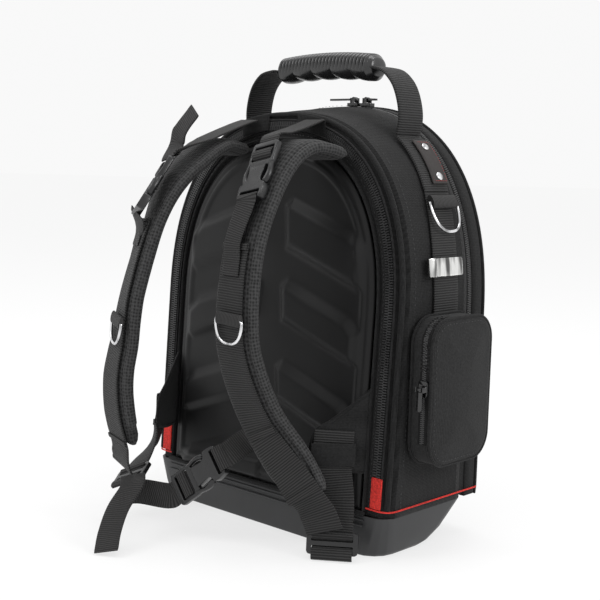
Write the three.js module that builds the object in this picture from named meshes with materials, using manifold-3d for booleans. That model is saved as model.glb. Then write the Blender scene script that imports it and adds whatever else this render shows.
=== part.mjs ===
// Tool backpack, in millimetres, +Z up. It stands on its moulded base.
// The origin is the middle of the base's underside. The harness side faces -Y, the front lid +Y,
// and right is the +X side, as seen from the harness side.
import * as THREE from 'three';
import { mergeVertices } from 'three/addons/utils/BufferGeometryUtils.js';
import Module from 'manifold-3d';

const wasm = await Module();
wasm.setup();

// Driving dimensions of the bag
const BAG_WIDTH = 330;
const BACK_SET = 76;
const FRONT_SET = 75;
const BACK_LEAN = 0.06;
const SPRING_HEIGHT = 225;
const BACK_HEIGHT = 421;
const FRONT_HEIGHT = 430;
const ARCH_POWER = 2.35;
const WALL = 3;
const GAP = 0.3;
const PLAY = 0.5;

// Base tray
const TRAY_HEIGHT = 40;
const TRAY_WALL = 3;
const TRAY_DRAFT = 8;
const TRAY_BACK_DRAFT = 1;
const TRAY_FRONT_STEP = 15;
const TRAY_CHAMFER = 34;
const TRAY_CORNER = 16;
const LINE_HEIGHT = 47;
const LINE_RADIUS = 1.1;

// Back flange, zip, piping and moulded panel
const FLANGE_WIDTH = 31;
const FLANGE_SET = 5;
const CORNER_CUT = 11;
const ZIP_INSET = 14.5;
const ZIP_WIDTH = 11;
const ZIP_THICK = 2.4;
const ZIP_END_HEIGHT = 78;
const PIPING_RADIUS = 2.8;
const PANEL_THICK = 7;
const PANEL_BOTTOM = 44;
const PANEL_BEVEL = 3;
const PAD_RISE = 7;
const PAD_BEVEL = 7;
const PAD_INNER = 13;
const PAD_MARGIN = 12;
const PAD_DROP = 36;
const PAD_TOP = 338;
const PAD_PITCH = 81;
const SPINE_WIDTH = 15;
const SPINE_DEPTH = 3;
const BADGE_WIDTH = 46;
const BADGE_HEIGHT = 17;
const BADGE_THICK = 3;
const BADGE_OFFSET = -24;
const TAB_WIDTH = 13;
const TAB_THICK = 1.4;

// Front lid
const LID_DEPTH = 21;
const LID_CROWN = 3.5;
const LID_BEVEL = 8;
const FRONT_ZIP_WIDTH = 9;
const FRONT_ZIP_SINK = 0.8;
const FRONT_ZIP_END = 110;

// Webbings
const WEB = 38;
const WEB_NARROW = 25;
const WEB_THICK = 2;

// Carry handle
const GRIP_LENGTH = 132;
const GRIP_CLEAR = 22;
const GRIP_THICK = 28;
const GRIP_DEPTH = 33;
const GRIP_CROWN = 4;
const GRIP_Y = 18;
const SCALLOPS = 5;
const SCALLOP_DEPTH = 2.6;
const HANDLE_HALF = 104;
const HANDLE_THICK = 3;
const HANDLE_END = 345;
const SIDE_WEB_Y = 8;
const SIDE_WEB_SWEEP = 13;
const SIDE_WEB_TUCK = 6;
const PATCH_WIDTH = 24;
const PATCH_THICK = 2;
const PATCH_TOP = 391;
const PATCH_BOTTOM = 351;
const PATCH_SHIFT = 6;
const RIVET_RADIUS = 4.2;
const RIVET_HEIGHT = 1.6;

// Side ring, clip and pocket
const RING_WIDTH = 46;
const RING_WIRE = 1.6;
const RING_DROP = 32;
const RING_BELOW_PATCH = 17;
const LOOP_DEPTH = 7.4;
const LOOP_HEIGHT = 13;
const CLIP_LENGTH = 59;
const CLIP_HEIGHT = 17;
const CLIP_THICK = 1.6;
const CLIP_ROLL = 3.4;
const CLIP_Z = 274.5;
const CLIP_Y = 3;
const POCKET_DEPTH = 27;
const POCKET_WALL = 2;
const POCKET_BOTTOM = 90;
const POCKET_TOP = 230;
const POCKET_BACK = -45;
const POCKET_FRONT = 49;
const POCKET_CROWN = 6;
const POCKET_CORNER = 25;
const SLIDER_LENGTH = 15;
const SLIDER_WIDTH = 10;
const SLIDER_THICK = 3.5;
const PULL_LENGTH = 34;
const PULL_SHORT = 13;
const PULL_WIDTH = 8;
const PULL_THICK = 2;
const PIN_RADIUS = 1.1;
const POCKET_SLIDER_Z = 166;
const TOP_SLIDER_X = 8;

// Harness
const STRAP_WIDTH = 57;
const STRAP_THICK = 15;
const STRAP_REACH = 90;
const STRAP_RING_WIDTH = 42;
const STRAP_RING_DROP = 24;
const STRAP_RING_SHIFT = 5;
const PATCH_INNER = 20;
const PATCH_OUTER = 57;
const ROOT_PATCH_LOW = 19;
const ROOT_PATCH_THICK = 2;
const TAB_DEPTH = 5;
const TAB_HEIGHT = 12;
const BUCKLE_LENGTH = 62;
const BUCKLE_WIDTH = 33;
const BUCKLE_THICK = 9;
const LOCK_WIDTH = 49;
const LOCK_LENGTH = 21;
const LOCK_THICK = 5;
const WING_THICK = 2;
const WING_TOP = 161;
const WING_LOW = 82;
const WING_REACH = 53;
const KEEPER_WIDTH = 22;
const KEEPER_THICK = 1.2;

// Worked out from the driving dimensions
const HALF = BAG_WIDTH / 2;
const GRIP_HEIGHT = FRONT_HEIGHT + GRIP_CLEAR + GRIP_THICK / 2;
const SIDE_RING_HEIGHT = PATCH_BOTTOM - RING_BELOW_PATCH;
const BODY_LOW = TRAY_HEIGHT + GAP;
const ZIP_FRONT_Y = FRONT_SET - LID_DEPTH - GAP;
const GUSSET_END_Y = ZIP_FRONT_Y - FRONT_ZIP_WIDTH - GAP;

// Colours, roughness and metalness
const FABRIC = { color: 0x17171a, roughness: 0.92, metalness: 0 };
const WEBBING = { color: 0x1b1b1d, roughness: 0.85, metalness: 0 };
const FOAM = { color: 0x1c1c1e, roughness: 0.6, metalness: 0 };
const TRAY = { color: 0x303033, roughness: 0.45, metalness: 0 };
const PLASTIC = { color: 0x202022, roughness: 0.4, metalness: 0 };
const GRIP = { color: 0x3a3a3c, roughness: 0.45, metalness: 0 };
const RED = { color: 0xc8322b, roughness: 0.7, metalness: 0 };
const LEATHER = { color: 0x241a18, roughness: 0.65, metalness: 0 };
const CHROME = { color: 0xc8c8cc, roughness: 0.2, metalness: 1 };
const ZIPPER = { color: 0x131314, roughness: 0.5, metalness: 0.1 };

const bag = new THREE.Group();

function add(name, geometry, finish) {
  const mesh = new THREE.Mesh(geometry, new THREE.MeshStandardMaterial(finish));
  mesh.name = name;
  bag.add(mesh);
  return mesh;
}

const mix = (from, to, share) => from + (to - from) * share;
const vec = (x, y, z) => new THREE.Vector3(x, y, z);
const backY = (z) => -BACK_SET + BACK_LEAN * z;
const signedPower = (value, power) => Math.sign(value) * Math.abs(value) ** power;

// The flat triangles that close one ring of points
function capTriangles(ring) {
  const normal = vec(0, 0, 0);
  ring.forEach((point, i) => {
    const next = ring[(i + 1) % ring.length];
    normal.x += (point.y - next.y) * (point.z + next.z);
    normal.y += (point.z - next.z) * (point.x + next.x);
    normal.z += (point.x - next.x) * (point.y + next.y);
  });
  normal.normalize();
  const helper = Math.abs(normal.z) < 0.9 ? vec(0, 0, 1) : vec(1, 0, 0);
  const u = helper.clone().cross(normal).normalize();
  const v = normal.clone().cross(u);
  const flat = ring.map((point) => new THREE.Vector2(point.dot(u), point.dot(v)));
  return THREE.ShapeUtils.triangulateShape(flat, []);
}

// A closed body through rings of equal count, capped at both ends or joined into a loop
function loft(rings, joined = false) {
  const count = rings[0].length;
  const position = rings.flat().flatMap((point) => [point.x, point.y, point.z]);
  const index = [];
  const last = joined ? rings.length : rings.length - 1;
  for (let i = 0; i < last; i += 1) {
    const near = i * count;
    const far = ((i + 1) % rings.length) * count;
    for (let j = 0; j < count; j += 1) {
      const k = (j + 1) % count;
      index.push(near + j, near + k, far + k, near + j, far + k, far + j);
    }
  }
  if (!joined) {
    const end = (rings.length - 1) * count;
    capTriangles(rings[0]).forEach(([a, b, c]) => index.push(a, c, b));
    const lastRing = rings[rings.length - 1];
    capTriangles(lastRing).forEach(([a, b, c]) => index.push(end + a, end + b, end + c));
  }
  const geometry = new THREE.BufferGeometry();
  geometry.setAttribute('position', new THREE.Float32BufferAttribute(position, 3));
  geometry.setIndex(index);
  return facingOut(geometry);
}

// Turns every face round when the enclosed volume comes out negative
function facingOut(geometry) {
  const place = geometry.getAttribute('position');
  const index = geometry.getIndex().array;
  const corner = (i) => new THREE.Vector3().fromBufferAttribute(place, index[i]);
  let volume = 0;
  for (let i = 0; i < index.length; i += 3) {
    volume += corner(i).dot(corner(i + 1).cross(corner(i + 2)));
  }
  if (volume < 0) {
    for (let i = 0; i < index.length; i += 3) {
      const kept = index[i + 1];
      index[i + 1] = index[i + 2];
      index[i + 2] = kept;
    }
  }
  return geometry;
}

function toSolid(geometry) {
  const plain = geometry.clone();
  plain.deleteAttribute('normal');
  plain.deleteAttribute('uv');
  const merged = mergeVertices(plain, 1e-4);
  const vertProperties = new Float32Array(merged.getAttribute('position').array);
  const triVerts = new Uint32Array(merged.getIndex().array);
  return new wasm.Manifold(new wasm.Mesh({ numProp: 3, vertProperties, triVerts }));
}

function toGeometry(solid) {
  const mesh = solid.getMesh();
  const geometry = new THREE.BufferGeometry();
  geometry.setAttribute('position', new THREE.BufferAttribute(new Float32Array(mesh.vertProperties), 3));
  geometry.setIndex(new THREE.BufferAttribute(new Uint32Array(mesh.triVerts), 1));
  return geometry;
}

const joinAll = (parts) => toGeometry(parts.map(toSolid).reduce((sum, part) => sum.add(part)));
const cutAll = (body, cuts) => toGeometry(
  cuts.map(toSolid).reduce((rest, cut) => rest.subtract(cut), toSolid(body)),
);

// Puts a geometry drawn in x, y, z onto the three axes given, at a place
function placed(geometry, along, across, out, at) {
  const frame = new THREE.Matrix4().makeBasis(along, across, out).setPosition(at);
  return geometry.applyMatrix4(frame);
}

// Flat outline with rounded corners, centred, width along x and height along y
function roundedShape(width, height, radius) {
  const x = width / 2;
  const y = height / 2;
  const shape = new THREE.Shape();
  shape.moveTo(-x + radius, -y);
  shape.lineTo(x - radius, -y);
  shape.absarc(x - radius, -y + radius, radius, -Math.PI / 2, 0, false);
  shape.lineTo(x, y - radius);
  shape.absarc(x - radius, y - radius, radius, 0, Math.PI / 2, false);
  shape.lineTo(-x + radius, y);
  shape.absarc(-x + radius, y - radius, radius, Math.PI / 2, Math.PI, false);
  shape.lineTo(-x, -y + radius);
  shape.absarc(-x + radius, -y + radius, radius, Math.PI, Math.PI * 1.5, false);
  return shape;
}

// The same outline as a fixed count of points: four quarter arcs of equal steps
function roundedLoop(width, height, radius, steps = 4) {
  const corners = [[1, -1], [1, 1], [-1, 1], [-1, -1]];
  return corners.flatMap(([i, j], quarter) => Array.from({ length: steps + 1 }, (_, k) => {
    const angle = (Math.PI / 2) * (quarter - 1 + k / steps);
    return new THREE.Vector2(
      i * (width / 2 - radius) + radius * Math.cos(angle),
      j * (height / 2 - radius) + radius * Math.sin(angle),
    );
  }));
}

// A plate drawn in x and y, centred on its thickness
function plate(shape, thick, curveSegments = 4) {
  const geometry = new THREE.ExtrudeGeometry(shape, { depth: thick, bevelEnabled: false, curveSegments });
  return geometry.translate(0, 0, -thick / 2);
}

const block = (x, y, z) => new THREE.BoxGeometry(x, y, z);

function rod(radius, length, sides = 10) {
  return new THREE.CylinderGeometry(radius, radius, length, sides);
}

// The bag's arched outline at one station: inset from the outside, share of the way from
// the back to the front, and a shift along +Y. It runs up the right side and down the left.
function outline(station, low, straight = 3, round = 24) {
  const { inset, share, shift } = station;
  const half = HALF - inset;
  const top = mix(BACK_HEIGHT, FRONT_HEIGHT, share) - inset;
  const point = (x, z) => vec(x, mix(backY(z), FRONT_SET, share) + shift, z);
  const points = [];
  for (let k = 0; k < straight; k += 1) {
    points.push(point(half, mix(low, SPRING_HEIGHT, k / straight)));
  }
  for (let k = 0; k <= round; k += 1) {
    const angle = (Math.PI * k) / round;
    const x = half * signedPower(Math.cos(angle), 2 / ARCH_POWER);
    const z = mix(SPRING_HEIGHT, top, Math.max(Math.sin(angle), 0) ** (2 / ARCH_POWER));
    points.push(point(x, z));
  }
  for (let k = straight - 1; k >= 0; k -= 1) {
    points.push(point(-half, mix(low, SPRING_HEIGHT, k / straight)));
  }
  return points;
}

// A section swept over the arch from one foot to the other
function archBand(section, low) {
  const lines = section.map((station) => outline(station, low));
  return loft(lines[0].map((_, i) => lines.map((line) => line[i])));
}

// A full arched face's outline, its lower edge raised with the inset
const archLoop = (station, low) => outline(station, low + station.inset);

// Height of the bag's arch over a place across it, at a share of the depth
function archHeight(x, share) {
  const top = mix(BACK_HEIGHT, FRONT_HEIGHT, share);
  const part = 1 - (Math.abs(x) / HALF) ** ARCH_POWER;
  return mix(SPRING_HEIGHT, top, part ** (1 / ARCH_POWER));
}

// Base

// One level of the tray: how high, how far drawn in, and the corner radius
function trayRing(height, sideIn, backIn, frontIn, radius) {
  const half = HALF - 1 - sideIn;
  const low = backY(TRAY_HEIGHT) + 1 + backIn;
  const high = FRONT_SET - 1 - frontIn;
  const points = roundedLoop(2 * half, high - low, radius);
  const middle = (low + high) / 2;
  return points.map((point) => vec(point.x, point.y + middle, height));
}

const TRAY_LEVELS = [
  { height: 0, draft: 1.2, chamfer: 1.3, corner: 1.6 },
  { height: 0.08, draft: 0.83, chamfer: 1.06, corner: 1.6 },
  { height: 0.34, draft: 0.5, chamfer: 0.64, corner: 1.4 },
  { height: 1, draft: 0, chamfer: 0, corner: 1 },
];

function baseTray() {
  const ring = (level, wall) => trayRing(
    Math.max(level.height * TRAY_HEIGHT, wall),
    level.draft * TRAY_DRAFT + wall,
    level.draft * TRAY_BACK_DRAFT + wall,
    TRAY_FRONT_STEP + level.chamfer * TRAY_CHAMFER + wall,
    TRAY_CORNER * level.corner,
  );
  const outside = TRAY_LEVELS.map((level) => ring(level, 0));
  const inside = TRAY_LEVELS.slice(1).map((level) => ring(level, TRAY_WALL)).reverse();
  return loft([...outside, ...inside]);
}

add('base_tray', baseTray(), TRAY);

function basePiping() {
  const out = GAP + LINE_RADIUS;
  const low = backY(LINE_HEIGHT) + FLANGE_SET - out;
  const high = FRONT_SET + out;
  const width = BAG_WIDTH + 2 * out;
  const front = roundedLoop(width, high - low, LID_BEVEL * 0.6 + out, 3);
  const back = roundedLoop(width, high - low, CORNER_CUT + out, 3);
  const corners = back.map((point, i) => (point.y > 0 ? front[i] : point));
  const foot = (side) => new THREE.Vector2(side * (HALF - FLANGE_WIDTH + 3), (low - high) / 2);
  const points = [foot(1), ...corners, foot(-1)];
  const middle = vec(0, (low + high) / 2, LINE_HEIGHT);
  const sides = 5;
  const rings = points.map((point, i) => {
    const before = points[Math.max(i - 1, 0)];
    const after = points[Math.min(i + 1, points.length - 1)];
    const outward = vec(after.y - before.y, before.x - after.x, 0).normalize();
    return Array.from({ length: sides }, (_, k) => {
      const angle = (2 * Math.PI * k) / sides;
      return middle.clone()
        .add(vec(point.x, point.y, LINE_RADIUS * Math.sin(angle)))
        .addScaledVector(outward, LINE_RADIUS * Math.cos(angle));
    });
  });
  return loft(rings);
}

add('base_piping', basePiping(), RED);

// Main compartment

function gusset() {
  const inner = CORNER_CUT + WALL * 0.4;
  return archBand([
    { inset: FLANGE_WIDTH, share: 0, shift: FLANGE_SET },
    { inset: CORNER_CUT, share: 0, shift: FLANGE_SET },
    { inset: 0, share: 0, shift: FLANGE_SET + CORNER_CUT },
    { inset: 0, share: 1, shift: GUSSET_END_Y - FRONT_SET },
    { inset: WALL, share: 1, shift: GUSSET_END_Y - FRONT_SET },
    { inset: WALL, share: 0, shift: FLANGE_SET + inner },
    { inset: inner, share: 0, shift: FLANGE_SET + WALL },
    { inset: FLANGE_WIDTH, share: 0, shift: FLANGE_SET + WALL },
  ], BODY_LOW);
}

add('body_gusset', gusset(), FABRIC);

function circleSection(inset, shift, radius, sides) {
  return Array.from({ length: sides }, (_, k) => {
    const angle = (2 * Math.PI * k) / sides;
    return { inset: inset + radius * Math.cos(angle), share: 0, shift: shift + radius * Math.sin(angle) };
  });
}

const pipingSeat = CORNER_CUT / 2 - (PIPING_RADIUS + GAP) / Math.SQRT2;
add('edge_piping', archBand(
  circleSection(pipingSeat, FLANGE_SET + pipingSeat, PIPING_RADIUS, 6),
  LINE_HEIGHT + LINE_RADIUS + GAP,
), FABRIC);

function zipBand(inset, width, share, outer, inner) {
  return [
    { inset: inset - width / 2, share, shift: outer },
    { inset: inset + width / 2, share, shift: outer },
    { inset: inset + width / 2, share, shift: inner },
    { inset: inset - width / 2, share, shift: inner },
  ];
}

const zipSeat = FLANGE_SET - GAP;
const zipFoot = ZIP_END_HEIGHT + GAP;
add('back_zip', archBand(
  zipBand(ZIP_INSET, ZIP_WIDTH, 0, zipSeat - ZIP_THICK, zipSeat),
  zipFoot,
), ZIPPER);

[['left', -1], ['right', 1]].forEach(([name, side]) => {
  const low = LINE_HEIGHT + LINE_RADIUS + GAP;
  const x = side * (HALF - ZIP_INSET);
  const corner = (z, shift) => [-1, 1].map((end) => vec(x + (end * TAB_WIDTH) / 2, backY(z) + shift, z));
  const ring = (z) => {
    const [a, b] = corner(z, zipSeat - TAB_THICK);
    const [c, d] = corner(z, zipSeat);
    return [a, b, d, c];
  };
  add(`zip_tab_${name}`, loft([ring(low), ring(ZIP_END_HEIGHT)]), RED);
});

// Front lid: a shallow crowned pan, open towards the main compartment

function frontCover() {
  const rim = -LID_DEPTH;
  const station = (inset, shift) => ({ inset, share: 1, shift });
  const outside = [
    station(HALF * 0.6, LID_CROWN),
    station(LID_BEVEL * 3, LID_CROWN * 0.6),
    station(LID_BEVEL * 0.6, -LID_BEVEL * 0.1),
    station(0, -LID_BEVEL * 0.7),
    station(0, rim),
  ];
  const inside = [
    station(WALL, rim),
    station(WALL, -LID_BEVEL * 0.7 - WALL * 0.3),
    station(LID_BEVEL * 3, LID_CROWN * 0.6 - WALL),
    station(HALF * 0.6, LID_CROWN - WALL),
  ];
  return loft([...outside, ...inside].map((item) => archLoop(item, BODY_LOW)));
}

add('front_cover', frontCover(), FABRIC);

add('front_zip', archBand([
  { inset: FRONT_ZIP_SINK, share: 1, shift: GUSSET_END_Y + GAP - FRONT_SET },
  { inset: FRONT_ZIP_SINK, share: 1, shift: ZIP_FRONT_Y - FRONT_SET },
  { inset: FRONT_ZIP_SINK + 2, share: 1, shift: ZIP_FRONT_Y - FRONT_SET },
  { inset: FRONT_ZIP_SINK + 2, share: 1, shift: GUSSET_END_Y + GAP - FRONT_SET },
], FRONT_ZIP_END), ZIPPER);

// Moulded back panel with slanting pads in two columns, a spine groove and a bare plate

const PAD_ROWS = [
  { step: 0, height: 1 },
  { step: 1, height: 0.84 },
  { step: 2, height: 0.8 },
  { step: 3, height: 0.46 },
];
const PAD_HEIGHT = 54;

function onPanel(x, z, rise) {
  return vec(x, backY(z) - rise, z);
}

const padOuter = HALF - FLANGE_WIDTH - PAD_MARGIN;

function padSolid(side, row) {
  const top = PAD_TOP - row.step * PAD_PITCH;
  const height = PAD_HEIGHT * row.height;
  const clip = 10;
  const corners = [
    [PAD_INNER, top - clip],
    [PAD_INNER + clip, top - clip * 0.3],
    [padOuter - clip * 1.6, top - PAD_DROP + clip * 0.4],
    [padOuter, top - PAD_DROP - clip],
    [padOuter, top - PAD_DROP - height + clip * 0.4],
    [padOuter - clip, top - PAD_DROP - height + clip * 0.3],
    [PAD_INNER + clip * 0.4, top - height],
  ];
  const centreX = (PAD_INNER + padOuter) / 2;
  const centreZ = top - PAD_DROP / 2 - height / 2;
  const shrinkX = 1 - (2 * PAD_BEVEL) / (padOuter - PAD_INNER);
  const shrinkZ = 1 - (2 * PAD_BEVEL) / height;
  const ring = (kx, kz, rise) => corners.map(([x, z]) => {
    const slope = (-PAD_DROP * (x - centreX)) / (padOuter - PAD_INNER);
    const local = z - centreZ - slope;
    const px = centreX + (x - centreX) * kx;
    const pz = centreZ + slope * kx + local * kz;
    return onPanel(side * px, pz, rise);
  });
  return loft([ring(1, 1, -1), ring(1, 1, 0.5), ring(shrinkX, shrinkZ, PAD_RISE)]);
}

function backPanel() {
  const inset = FLANGE_WIDTH + PLAY;
  const station = (extra, shift) => ({ inset: inset + extra, share: 0, shift });
  const base = loft([
    station(PANEL_BEVEL, 0),
    station(0, PANEL_BEVEL),
    station(0, PANEL_THICK),
  ].map((item) => outline(item, PANEL_BOTTOM)));
  const pads = PAD_ROWS.flatMap((row) => [padSolid(-1, row), padSolid(1, row)]);
  const badgeZ = PANEL_BOTTOM + BADGE_HEIGHT / 2 + 4;
  const badgeRing = (cut, rise) => [[-1, -1], [1, -1], [1, 1], [-1, 1]].map(([i, j]) => onPanel(
    BADGE_OFFSET + i * (BADGE_WIDTH / 2 - cut),
    badgeZ + j * (BADGE_HEIGHT / 2 - cut),
    rise,
  ));
  const badge = loft([badgeRing(0, -1), badgeRing(0, BADGE_THICK / 2), badgeRing(1.5, BADGE_THICK)]);
  const spineTop = PAD_TOP - PAD_HEIGHT;
  const spineLow = PAD_TOP - 3 * PAD_PITCH;
  const spineRing = (half, rise) => {
    const round = [-1, -0.5, 0.5, 1];
    const upper = round.map((k) => onPanel(half * k, spineTop - half * Math.abs(k) ** 2, rise));
    const lower = round.map((k) => onPanel(-half * k, spineLow + half * Math.abs(k) ** 2, rise));
    return [...upper, ...lower];
  };
  const spine = loft([
    spineRing(SPINE_WIDTH / 2 - SPINE_DEPTH, -SPINE_DEPTH),
    spineRing(SPINE_WIDTH / 2, 1),
  ]);
  return cutAll(joinAll([base, ...pads, badge]), [spine]);
}

add('back_panel', backPanel(), FOAM);

// Ribbons, straps and webbings

// Stations along rows of places: each has its point, the way along, the way across and the face
function stationsOf(rows, perSpan) {
  const curve = new THREE.CatmullRomCurve3(rows.map((row) => row.at), false, 'centripetal');
  const spans = rows.length - 1;
  const steps = spans * perSpan;
  return Array.from({ length: steps + 1 }, (_, i) => {
    const u = i / steps;
    const k = Math.min(Math.floor(u * spans), spans - 1);
    const part = u * spans - k;
    const point = curve.getPoint(u);
    const along = curve.getTangent(u).normalize();
    const lean = rows[k].across.clone().lerp(rows[k + 1].across, part);
    const face = along.clone().cross(lean).normalize();
    const across = face.clone().cross(along).normalize();
    const width = mix(rows[k].width ?? 1, rows[k + 1].width ?? 1, part);
    return { point, along, across, face, width };
  });
}

const raised = (stations, by) => stations.map(
  (s) => ({ ...s, point: s.point.clone().addScaledVector(s.face, by) }),
);

// A flat band of one thickness through stations
function ribbon(stations, width, thick) {
  return loft(stations.map((s) => [[-1, -1], [1, -1], [1, 1], [-1, 1]].map(([i, j]) => s.point.clone()
    .addScaledVector(s.across, (i * width * s.width) / 2)
    .addScaledVector(s.face, (j * thick) / 2))));
}

// A padded strap: crowned faces and thin bound edges
function paddedStrap(stations, width, thick) {
  const section = [
    [-1, 0.35], [-0.8, 1], [0.8, 1], [1, 0.35], [1, -0.35], [0.8, -1], [-0.8, -1], [-1, -0.35],
  ];
  return loft(stations.map((s) => section.map(([i, j]) => s.point.clone()
    .addScaledVector(s.across, (i * width * s.width) / 2)
    .addScaledVector(s.face, (j * thick) / 2))));
}

// A row of a strap's table: across as a share of the bag's half width, out as a share of the
// strap's reach behind the back, up as a share of the back's height, and the turn in degrees
function strapRows(table) {
  return table.map(({ across, out, up, turn = 0, width = 1 }) => {
    const z = up * BACK_HEIGHT;
    const angle = THREE.MathUtils.degToRad(turn);
    return {
      at: vec(across * HALF, backY(z) - out * STRAP_REACH, z),
      across: vec(Math.cos(angle), Math.sin(angle), 0),
      width,
    };
  });
}

const RIGHT_STRAP = [
  { across: 0.415, out: 0.032, up: 0.9 },
  { across: 0.41, out: 0.16, up: 0.905 },
  { across: 0.38, out: 0.42, up: 0.914 },
  { across: 0.362, out: 0.61, up: 0.9 },
  { across: 0.352, out: 0.77, up: 0.86, turn: -6 },
  { across: 0.35, out: 0.95, up: 0.784, turn: -10 },
  { across: 0.346, out: 1.08, up: 0.7, turn: -10 },
  { across: 0.343, out: 1.125, up: 0.594, turn: -8 },
  { across: 0.34, out: 1.09, up: 0.487, turn: -4 },
  { across: 0.355, out: 0.907, up: 0.38, turn: 2 },
  { across: 0.41, out: 0.72, up: 0.292, turn: 6 },
  { across: 0.523, out: 0.59, up: 0.221, turn: 12, width: 0.95 },
  { across: 0.632, out: 0.5, up: 0.162, turn: 18, width: 0.76 },
];
const RIGHT_TAIL = [
  { across: 0.7, out: 0.47, up: 0.122, turn: 20 },
  { across: 0.728, out: 0.42, up: 0.094, turn: 22 },
  { across: 0.745, out: 0.376, up: 0.0672, turn: 24 },
];
const LEFT_STRAP = [
  { across: -0.4, out: 0.03, up: 0.905 },
  { across: -0.395, out: 0.16, up: 0.91 },
  { across: -0.36, out: 0.45, up: 0.913 },
  { across: -0.325, out: 0.8, up: 0.871, turn: -8 },
  { across: -0.305, out: 1.1, up: 0.815, turn: -20 },
  { across: -0.305, out: 1.29, up: 0.735, turn: -28 },
  { across: -0.325, out: 1.39, up: 0.645, turn: -30 },
  { across: -0.355, out: 1.455, up: 0.556, turn: -28 },
  { across: -0.385, out: 1.47, up: 0.462, turn: -22 },
  { across: -0.425, out: 1.475, up: 0.375, turn: -18 },
  { across: -0.437, out: 1.41, up: 0.29, turn: -15 },
  { across: -0.44, out: 1.29, up: 0.22, turn: -14, width: 0.76 },
];
const LEFT_TAIL = [
  { across: -0.475, out: 1.315, up: 0.176, turn: -18 },
  { across: -0.52, out: 1.2, up: 0.148, turn: -22 },
  { across: -0.578, out: 1.05, up: 0.127, turn: -24 },
];

const STRAPS = { right: strapRows(RIGHT_STRAP), left: strapRows(LEFT_STRAP) };
const TAILS = { right: strapRows(RIGHT_TAIL), left: strapRows(LEFT_TAIL) };
const strapSeat = STRAP_THICK / 2 + 2 * GAP + WEB_THICK / 2;
const WEB_START = { right: 6, left: 5 };

const strapLine = {};
['left', 'right'].forEach((name) => {
  const line = stationsOf(STRAPS[name], 2);
  strapLine[name] = line;
  add(`shoulder_strap_${name}`, paddedStrap(line, STRAP_WIDTH, STRAP_THICK), FABRIC);
  const first = WEB_START[name] * 2;
  const onFace = raised(line, strapSeat).slice(first).map((s) => ({ ...s, width: 1 }));
  const rows = onFace.slice(-2).map((s) => ({ at: s.point, across: s.across }));
  const tail = stationsOf([...rows, ...TAILS[name].map((row) => ({ ...row, width: 1 }))], 2).slice(3);
  add(`strap_webbing_${name}`, ribbon([...onFace, ...tail], WEB, WEB_THICK), WEBBING);
});

// Places on the outside of the bag's wall

const SIDES = [['left', -1], ['right', 1]];

// Height of the roof line over the middle compartment at a depth
function roofTop(y, z) {
  const back = backY(z) + FLANGE_SET + CORNER_CUT;
  const share = (y - back) / (GUSSET_END_Y - back);
  return mix(BACK_HEIGHT, FRONT_HEIGHT, THREE.MathUtils.clamp(share, 0, 1));
}

// Half the width of the wall at a depth and height
function wallHalf(y, z) {
  if (z <= SPRING_HEIGHT) return HALF;
  const part = (z - SPRING_HEIGHT) / (roofTop(y, z) - SPRING_HEIGHT);
  return HALF * Math.max(1 - part ** ARCH_POWER, 0) ** (1 / ARCH_POWER);
}

// A place on the wall with its outward normal and the way up along the wall
function onWall(side, y, z) {
  const step = 2;
  const rise = wallHalf(y, z + step) - wallHalf(y, z - step);
  const up = vec(side * rise, 0, 2 * step).normalize();
  const normal = vec(side * up.z, 0, -side * up.x);
  return { place: vec(side * wallHalf(y, z), y, z), normal, up };
}

const lifted = (spot, by) => spot.place.clone().addScaledVector(spot.normal, by);

// One cross section of a band that lies on the wall, from one edge in depth to the other
function wallSection(side, y, z, width, seat, thick) {
  const near = onWall(side, y - width / 2, z);
  const far = onWall(side, y + width / 2, z);
  return [lifted(near, seat), lifted(far, seat), lifted(far, seat + thick), lifted(near, seat + thick)];
}

const LAY = GAP + 0.3;
const handleShoulder = 397;
const webY = (z) => SIDE_WEB_Y + SIDE_WEB_SWEEP * THREE.MathUtils.smoothstep(z, CLIP_Z, handleShoulder);
const even = (from, to, count) => Array.from({ length: count + 1 }, (_, k) => mix(from, to, k / count));

// Side webbing, handle webbing, leather patch and rivets

const HANDLE_ROWS = [
  { across: 1.02, up: 0.28, turn: 4 },
  { across: 1, up: 0.52, turn: 16 },
  { across: 0.93, up: 0.77, turn: 42 },
  { across: 0.8, up: 0.95, turn: 66 },
  { across: 0.6385, up: 1.01, turn: 86, width: 0.8 },
];

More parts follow.
